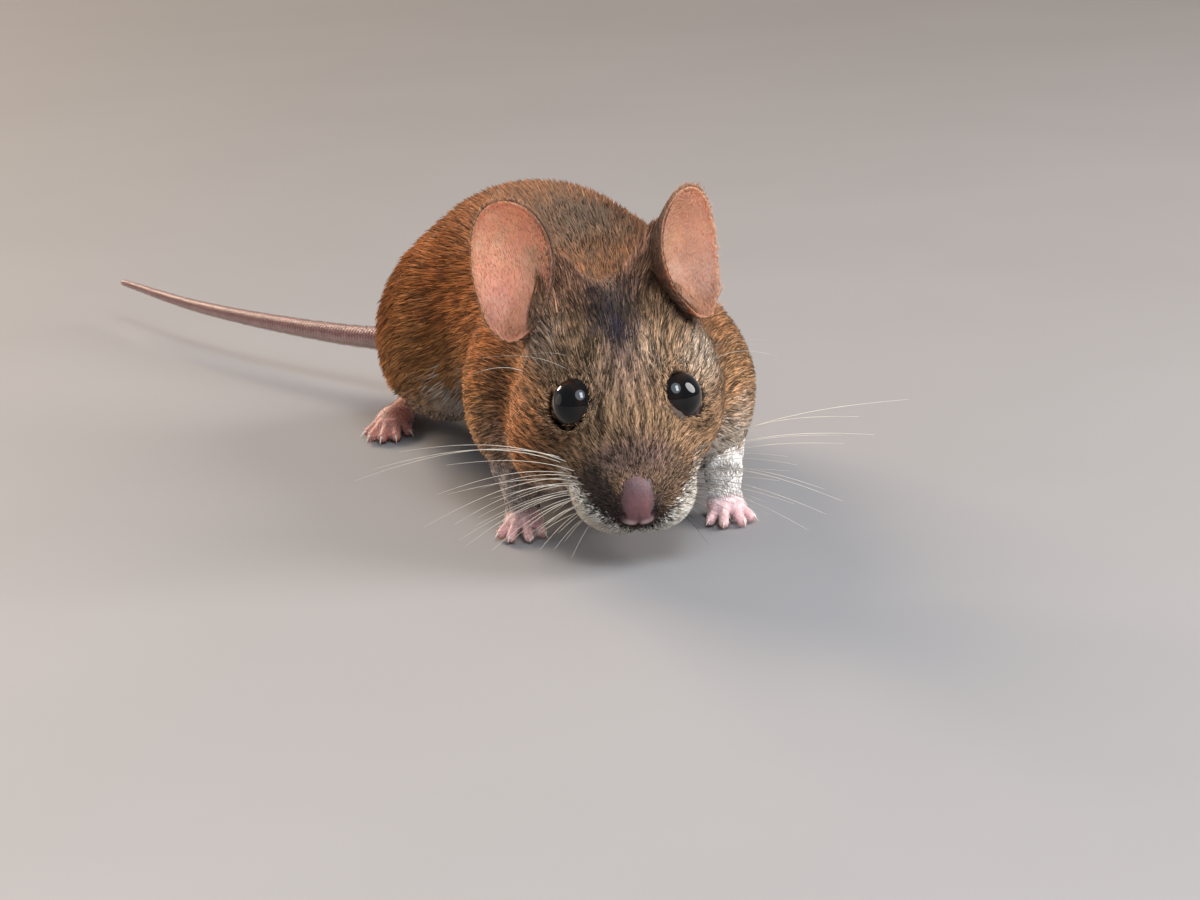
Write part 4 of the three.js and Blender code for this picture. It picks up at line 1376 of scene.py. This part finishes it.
def whisker_lines():
    """Points and radii of every whisker: rows down each pad, and one that stands over each eye."""
    source = np.random.default_rng(SEED + 3)
    lines = []
    for side, sign in SIDES.items():
        tips = np.array(WHISKER_TIPS[side])
        for row in range(WHISKER_ROWS):
            for column in range(WHISKER_COLUMNS):
                down, front = row / (WHISKER_ROWS - 1), column / (WHISKER_COLUMNS - 1)
                root = in_head(sign * (4.9 - 1.0 * front + 0.4 * down), -5.6 - 4.6 * front, -4.3 - 3.6 * down)
                far = np.array([np.interp(down, (0, 0.5, 1), tips[:, k]) for k in range(3)])
                reach = (1 - 0.78 * front**0.8) * source.uniform(0.8, 1.06)
                spread = source.normal(0, 1, 3) * (1.0, 2.4, 1.3)
                tip = root + (far + spread - root) * reach + np.array([0, -5.0, -1.5]) * front
                tip[2] = max(tip[2], 0.5)
                lines.append(whisker(root, tip, source.uniform(0.06, 0.13), 1.0 - 0.45 * front))
        for spot, reach in (((5.5, 0.9, 3.3), 11.0), ((4.9, 1.9, 4.0), 5.5)):
            root = in_head(sign * spot[0], spot[1], spot[2])
            way = unit(np.array([sign * 1.0, 0.45, 0.12]))
            lines.append(whisker(root, root + way * reach, 0.10, 0.4))
        cheek = in_head(sign * 10.2, 5.6, 0.0)
        lines.append(whisker(cheek, cheek + np.array([sign * 6.8, 1.5, -0.4]), 0.12, 0.6))
    return lines


def whisker(root, tip, bow, thick):
    t = np.linspace(0, 1, WHISKER_POINTS)[:, None]
    length = np.linalg.norm(tip - root)
    arch = 4 * t * (1 - t) * (1.15 - 0.5 * t)
    points = root + (tip - root) * t + np.array([0, 0, bow * length]) * arch
    radii = (WHISKER_END + (WHISKER_ROOT - WHISKER_END) * (1 - t[:, 0]) ** 1.1) * thick
    return points, radii


def make_whiskers():
    curve = bpy.data.curves.new("whiskers", "CURVE")
    curve.dimensions = "3D"
    curve.bevel_depth = MM
    curve.bevel_resolution = 1
    curve.use_fill_caps = True
    for points, radii in whisker_lines():
        spline = curve.splines.new("POLY")
        spline.points.add(len(points) - 1)
        for place, radius, point in zip((points + HOME) * MM, radii, spline.points):
            point.co = (*place, 1)
            point.radius = radius
    whiskers = bpy.data.objects.new("whiskers", curve)
    bpy.context.scene.collection.objects.link(whiskers)
    select_only(whiskers)
    bpy.ops.object.convert(target="MESH")
    bpy.ops.object.shade_smooth()
    points = vertices(whiskers.data)
    out = np.abs(head_axes(points)[:, 0]) - 4.5
    left = points[:, 0] > 3.1
    dark, pale = np.array([0.05, 0.035, 0.03]), np.array([0.74, 0.64, 0.52])
    share = np.where(left, ramp(out, (1, 0.0), (14, 1.0)), ramp(out, (0, 0.25), (4, 1.0)))
    put_colours(whiskers.data, "coat", mix(np.tile(dark, (len(points), 1)), pale, share))
    return whiskers


# ---------- materials ----------
def new_material(name):
    """A material, its node maker, its links and its shader."""
    material = bpy.data.materials.new(name)
    material.use_nodes = True
    tree = material.node_tree
    shader = tree.nodes["Principled BSDF"]

    def node(kind, **inputs):
        made = tree.nodes.new(kind)
        for key, value in inputs.items():
            if key in made.inputs:
                made.inputs[key].default_value = value
            else:
                setattr(made, key, value)
        return made

    return material, node, tree.links.new, shader


def varied(node, link, colour, size, low, high):
    """A colour made darker and lighter by noise: its factor runs from low to high."""
    place = node("ShaderNodeTexCoord")
    noise = node("ShaderNodeTexNoise", Scale=1 / (size * MM), Detail=4.0)
    link(place.outputs["Object"], noise.inputs["Vector"])
    factor = node("ShaderNodeMapRange")
    factor.inputs["From Min"].default_value = 0.3
    factor.inputs["From Max"].default_value = 0.7
    factor.inputs["To Min"].default_value = low
    factor.inputs["To Max"].default_value = high
    link(noise.outputs["Fac"], factor.inputs["Value"])
    scaled = node("ShaderNodeVectorMath", operation="SCALE")
    link(colour, scaled.inputs[0])
    link(factor.outputs["Result"], scaled.inputs["Scale"])
    return scaled.outputs["Vector"]


def bumped(node, link, shader, height, strength, depth):
    bump = node("ShaderNodeBump", Strength=strength, Distance=depth * MM)
    link(height, bump.inputs["Height"])
    link(bump.outputs["Normal"], shader.inputs["Normal"])


def grain(node, link, size, kind="ShaderNodeTexNoise", output="Fac"):
    place = node("ShaderNodeTexCoord")
    texture = node(kind, Scale=1 / (size * MM))
    link(place.outputs["Object"], texture.inputs["Vector"])
    return texture.outputs[output]


def fur_material(name, low, high, roughness):
    material, node, link, shader = new_material(name)
    colour = node("ShaderNodeAttribute", attribute_name="coat").outputs["Color"]
    link(varied(node, link, colour, 2.5, low, high), shader.inputs["Base Color"])
    shader.inputs["Roughness"].default_value = roughness
    shader.inputs["Specular IOR Level"].default_value = 0.06
    shader.inputs["Sheen Weight"].default_value = 0.03
    shader.inputs["Sheen Roughness"].default_value = 0.4
    shader.inputs["Sheen Tint"].default_value = (1.0, 0.82, 0.62, 1)
    return material


def hide_material():
    """Skin under the coat: it carries the coat's marks, darker, and a fine lie of hair as bump."""
    material, node, link, shader = new_material("hide")
    colour = node("ShaderNodeAttribute", attribute_name="hide").outputs["Color"]
    link(varied(node, link, colour, 0.6, 0.75, 1.2), shader.inputs["Base Color"])
    shader.inputs["Roughness"].default_value = 0.75
    bumped(node, link, shader, grain(node, link, 0.25), 0.5, 0.05)
    return material


def soft_skin(name, size, low, high, roughness, glow, radius, bump_size, bump_depth):
    """Bare skin that light passes into, with a fine grain."""
    material, node, link, shader = new_material(name)
    colour = node("ShaderNodeAttribute", attribute_name="hide").outputs["Color"]
    link(varied(node, link, colour, size, low, high), shader.inputs["Base Color"])
    shader.inputs["Roughness"].default_value = roughness
    shader.inputs["Subsurface Weight"].default_value = glow
    shader.inputs["Subsurface Radius"].default_value = (1.0, 0.5, 0.32)
    shader.inputs["Subsurface Scale"].default_value = radius * MM
    cells = grain(node, link, bump_size, "ShaderNodeTexVoronoi", "Distance")
    bumped(node, link, shader, cells, 0.6, bump_depth)
    return material


TAIL_RINGS = 150


def tail_material():
    """Dusky above and pink below, with some 150 rings of scales."""
    material, node, link, shader = new_material("tail_skin")
    colour = node("ShaderNodeAttribute", attribute_name="hide").outputs["Color"]
    along = node("ShaderNodeAttribute", attribute_name="along_tail").outputs["Fac"]
    turns = node("ShaderNodeMath", operation="MULTIPLY")
    turns.inputs[1].default_value = TAIL_RINGS * 2 * math.pi
    link(along, turns.inputs[0])
    rings = node("ShaderNodeMath", operation="SINE")
    link(turns.outputs["Value"], rings.inputs[0])
    shade = node("ShaderNodeMapRange")
    shade.inputs["From Min"].default_value = -1
    shade.inputs["To Min"].default_value = 0.72
    shade.inputs["To Max"].default_value = 1.12
    link(rings.outputs["Value"], shade.inputs["Value"])
    banded = node("ShaderNodeVectorMath", operation="SCALE")
    link(varied(node, link, colour, 1.5, 0.8, 1.2), banded.inputs[0])
    link(shade.outputs["Result"], banded.inputs["Scale"])
    link(banded.outputs["Vector"], shader.inputs["Base Color"])
    shader.inputs["Roughness"].default_value = 0.5
    shader.inputs["Subsurface Weight"].default_value = 0.25
    shader.inputs["Subsurface Radius"].default_value = (1.0, 0.4, 0.3)
    shader.inputs["Subsurface Scale"].default_value = 0.4 * MM
    bumped(node, link, shader, rings.outputs["Value"], 0.8, 0.04)
    return material


def eye_material():
    """Nearly black, with a dark brown iris round a wide pupil, under a wet surface."""
    material, node, link, shader = new_material("eye")
    toward = node("ShaderNodeAttribute", attribute_name="toward_pupil").outputs["Fac"]
    steps = node("ShaderNodeValToRGB")
    ramp_stops = steps.color_ramp
    ramp_stops.elements[0].position = 0.30
    ramp_stops.elements[0].color = (0.004, 0.003, 0.003, 1)
    ramp_stops.elements[1].position = 0.62
    ramp_stops.elements[1].color = (0.010, 0.005, 0.003, 1)
    pupil = ramp_stops.elements.new(0.78)
    pupil.color = (0.002, 0.002, 0.002, 1)
    link(toward, steps.inputs["Fac"])
    link(varied(node, link, steps.outputs["Color"], 0.35, 0.6, 1.4), shader.inputs["Base Color"])
    shader.inputs["Roughness"].default_value = 0.03
    shader.inputs["IOR"].default_value = 1.22
    shader.inputs["Coat Weight"].default_value = 1.0
    shader.inputs["Coat IOR"].default_value = 1.33
    shader.inputs["Coat Roughness"].default_value = 0.02
    return material


def claw_material():
    material, node, link, shader = new_material("claw")
    low = node("ShaderNodeRGB")
    low.outputs[0].default_value = (0.62, 0.50, 0.42, 1)
    link(varied(node, link, low.outputs[0], 0.4, 0.75, 1.2), shader.inputs["Base Color"])
    shader.inputs["Roughness"].default_value = 0.3
    shader.inputs["Subsurface Weight"].default_value = 0.3
    shader.inputs["Subsurface Scale"].default_value = 0.2 * MM
    return material


def floor_material():
    material, node, link, shader = new_material("floor")
    pale = node("ShaderNodeRGB")
    pale.outputs[0].default_value = (0.25, 0.236, 0.233, 1)
    link(varied(node, link, pale.outputs[0], 60, 0.97, 1.03), shader.inputs["Base Color"])
    shader.inputs["Roughness"].default_value = 0.7
    return material


# ---------- the skin's own colours ----------
EAR_PINK = np.array([0.95, 0.50, 0.33])
EAR_BROWN = np.array([0.34, 0.150, 0.095])
NOSE_PINK = np.array([0.175, 0.072, 0.074])
NOSE_DUSK = np.array([0.064, 0.036, 0.037])
NOSE_PALE = np.array([0.66, 0.48, 0.46])
MUZZLE_MAUVE = np.array([0.20, 0.095, 0.105])
PAW_WHITE = np.array([0.86, 0.72, 0.73])
TOE_PINK = np.array([0.72, 0.38, 0.38])
HIND_PINK = np.array([0.58, 0.22, 0.15])
TAIL_DUSK = np.array([0.270, 0.115, 0.105])
TAIL_PINK = np.array([0.52, 0.32, 0.28])
LID_DARK = np.array([0.028, 0.018, 0.016])


def skin_colours(points, normals, regions):
    on_ear, on_foot, on_tail, _ = regions
    colours = coat_colour(points) * (0.55 + 0.3 * off_trunk(points))[:, None]
    muzzle = ramp(from_nose(points), (2.5, 1.0), (5.5, 0.0))
    own = head_axes(points)
    colours = mix(colours, MUZZLE_MAUVE, 0.7 * muzzle * ramp(own[:, 2], (-8, 0), (-6, 1)))
    to_side = ramp(np.abs(own[:, 0]), (0.9, 0.0), (1.8, 1.0))
    dusk = mix(np.tile(NOSE_PINK, (len(points), 1)), NOSE_DUSK, to_side)
    dusk = mix(dusk, NOSE_DUSK, 0.6 * ramp(own[:, 2], (-4.0, 0.0), (-2.0, 1.0)))
    colours = mix(colours, dusk, ramp(on_nose(points), (0.0, 0.0), (0.4, 1.0)))
    for sign in SIDES.values():
        away = (own - np.array([0.85 * sign, -13.0, -6.35])) / (0.6, 1.2, 0.5)
        colours = mix(colours, NOSE_PALE, 0.75 * np.exp(-dot(away, away) ** 1.5))
        # The dark in each nostril is painted shade inside the opening.
        away = (own - np.array([1.5 * sign, -12.8, -5.5])) / (0.32, 1.2, 0.36)
        colours = mix(colours, np.array([0.06, 0.02, 0.02]), 0.8 * np.exp(-dot(away, away) ** 1.5))
    for side in SIDES:
        colours = mix(colours, LID_DARK, ramp(lid_field(side, points), (0.12, 1.0), (0.5, 0.0)))
    for name, ear in EARS.items():
        mine = ear_at(points) == name
        across, high, _ = ear.own(points[mine])
        edge = np.sqrt(across**2 + high**2)
        inner = ramp(-across * SIDES[name], (0.2, 0.0), (0.6, 1.0))
        # The left ear's pink is painted at about half the right's: painted shade, offsetting the side lamp
        # and low sun that light that ear more.
        pink = EAR_PINK if name == "right" else EAR_PINK * (0.50, 0.53, 0.51)
        dish = mix(pink * (0.50, 0.38, 0.34), pink, ramp(high, (-0.9, 0.0), (0.25, 1.0)))
        dish = mix(dish, pink * (0.62, 0.50, 0.46), ramp(edge, (0.90, 0.0), (0.98, 0.9)))
        dish = mix(dish, EAR_BROWN, inner * ramp(edge, (0.93, 0.0), (0.99, 0.9)))
        dish = mix(dish, EAR_BROWN, 0.75 * ramp(normals[mine] @ ear.normal, (-0.2, 1.0), (0.15, 0.0)))
        colours[mine] = mix(colours[mine], dish, on_ear[mine])
    toes = ramp(points[:, 2], (1.5, 1.0), (3.5, 0.0))
    hind = ramp(points[:, 1], (30, 0.0), (40, 1.0))
    foot = mix(mix(np.tile(PAW_WHITE, (len(points), 1)), TOE_PINK, toes * 0.8), HIND_PINK, hind * 0.85)
    # Feet on the right side are painted darker and duller: painted shade, as on the right foreleg's coat.
    foot = np.where(points[:, :1] < 0, foot * (0.8, 0.68, 0.64), foot)
    colours = mix(colours, foot, on_foot)
    above = ramp(normals[:, 2], (-0.3, 0.0), (0.3, 1.0))
    tail = mix(np.tile(TAIL_PINK, (len(points), 1)), TAIL_DUSK, above)
    return mix(colours, tail, on_tail)


def colour_skin(skin, materials):
    """Colours by the point, and one of the materials by the face."""
    mesh = skin.data
    points = vertices(mesh)
    normals = np.empty(len(points) * 3, np.float32)
    mesh.vertices.foreach_get("normal", normals)
    regions = skin_regions(points)
    put_colours(mesh, "hide", skin_colours(points, normals.reshape(-1, 3), regions))
    put_values(mesh, "along_tail", regions[3])
    for material in materials:
        mesh.materials.append(material)
    nose = on_nose(points) > 0.3
    kind = np.select([regions[2] > 0.5, regions[1] > 0.5, regions[0] > 0.5, nose], [3, 2, 1, 2], 0)
    corners = np.empty(len(mesh.polygons) * 3, np.int32)
    mesh.polygons.foreach_get("vertices", corners)
    mesh.polygons.foreach_set("material_index", kind[corners.reshape(-1, 3)].max(1).astype(np.int32))


# ---------- floor, light and camera ----------
CAMERA_AT = np.array([0.0, -345.74, 97.73])
CAMERA_DOWN = 14.0
CAMERA_ROLL = 3.4
LENS = 100.0
SENSOR = 36.0


def make_floor():
    bpy.ops.mesh.primitive_plane_add(size=6, location=(0, 1.5, -0.0002))
    floor = bpy.context.object
    floor.name = "floor"
    return floor


def make_camera():
    data = bpy.data.cameras.new("camera")
    data.lens = LENS
    data.sensor_width = SENSOR
    data.clip_start = 0.01
    camera = bpy.data.objects.new("camera", data)
    bpy.context.scene.collection.objects.link(camera)
    down, roll = math.radians(CAMERA_DOWN), math.radians(CAMERA_ROLL)
    right = Vector((math.cos(roll), -math.sin(roll) * math.sin(down), -math.sin(roll) * math.cos(down)))
    above = Vector((math.sin(roll), math.cos(roll) * math.sin(down), math.cos(roll) * math.cos(down)))
    back = right.cross(above)
    turn = Matrix((right, above, back)).transposed().to_4x4()
    camera.matrix_world = Matrix.Translation((CAMERA_AT + HOME) * MM) @ turn
    bpy.context.scene.camera = camera


def make_light(name, at, aim, size, power, colour, shape="ELLIPSE"):
    data = bpy.data.lights.new(name, "AREA")
    data.shape = shape
    data.size, data.size_y = size
    data.energy = power
    data.color = colour
    light = bpy.data.objects.new(name, data)
    bpy.context.scene.collection.objects.link(light)
    place = (np.array(at) + HOME) * MM
    light.location = place
    light.rotation_euler = Vector((np.array(aim) + HOME) * MM - place).to_track_quat("-Z", "Y").to_euler()


def make_lights():
    world = bpy.data.worlds.new("room")
    bpy.context.scene.world = world
    world.use_nodes = True
    sky = world.node_tree.nodes["Background"]
    sky.inputs["Color"].default_value = (0.85, 0.9, 1.0, 1)
    sky.inputs["Strength"].default_value = 0.28
    make_light("window", (70, -400, 470), (0, 10, 14), (0.42, 0.52), 2.3, (0.72, 0.86, 1.0))
    make_light("lamp", (118, -398, 455), (0, 10, 14), (0.11, 0.24), 1.75, (0.86, 0.94, 1.0), "RECTANGLE")
    make_light("side", (520, -60, 330), (0, 15, 14), (0.4, 0.4), 4.9, (1.0, 0.98, 0.97))
    make_light("glow", (-520, 90, 150), (0, 15, 14), (0.5, 0.35), 0.38, (1.0, 0.80, 0.62))
    sun = bpy.data.lights.new("low_sun", "SUN")
    sun.energy = 3.3
    sun.angle = math.radians(25)
    sun.color = (1.0, 0.80, 0.60)
    light = bpy.data.objects.new("low_sun", sun)
    bpy.context.scene.collection.objects.link(light)
    light.rotation_euler = Vector((0.45, -0.80, -0.43)).to_track_quat("-Z", "Y").to_euler()
    bpy.context.scene.view_settings.view_transform = "Standard"


# ---------- the whole mouse ----------
def finish_piece(piece, slot, *nodes):
    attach(piece, "root")
    if nodes:
        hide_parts(*nodes)


flesh = [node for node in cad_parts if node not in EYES]
skin = make_skin()
ear_skin = soft_skin("ear_skin", 1.8, 0.86, 1.12, 0.55, 1.0, 1.6, 0.22, 0.015)
bare_skin = soft_skin("bare_skin", 0.7, 0.80, 1.16, 0.55, 0.5, 0.7, 0.20, 0.045)
colour_skin(skin, [hide_material(), ear_skin, bare_skin, tail_material()])
finish_piece(skin, "fur_brown", *flesh)

head_density, trunk_density = coat_densities(skin)
fur = fur_material("fur", 0.9, 1.1, 0.6)
short_hair = fur_material("short_hair", 0.85, 1.15, 0.5)
tufts = make_coat(skin, "coat_head", HEAD_TUFTS, HEAD_PIECES, head_density, 0.0, HEAD_END + 4)
tufts += make_coat(skin, "coat_trunk", TRUNK_TUFTS, TRUNK_PIECES, trunk_density, HEAD_END - 4, 90.0)
for piece in tufts:
    piece.data.materials.append(fur)
    finish_piece(piece, "fur_brown")

ear_hair = make_ear_hair(skin)
ear_hair.data.materials.append(short_hair)
finish_piece(ear_hair, "ear_skin")
limb_hair = make_limb_hair(skin)
limb_hair.data.materials.append(short_hair)
finish_piece(limb_hair, "bare_skin")

whiskers = make_whiskers()
whiskers.data.materials.append(short_hair)
finish_piece(whiskers, "fur_pale", "whisker_pad_right", "whisker_pad_left")

wet_eye = eye_material()
for side in SIDES:
    eye = make_eye(side)
    eye.data.materials.append(wet_eye)
    finish_piece(eye, "eye", f"eye_{side}")

horn = claw_material()
for claws in make_claws():
    claws.data.materials.append(horn)
    finish_piece(claws, "bare_skin")

make_floor().data.materials.append(floor_material())
make_camera()
make_lights()
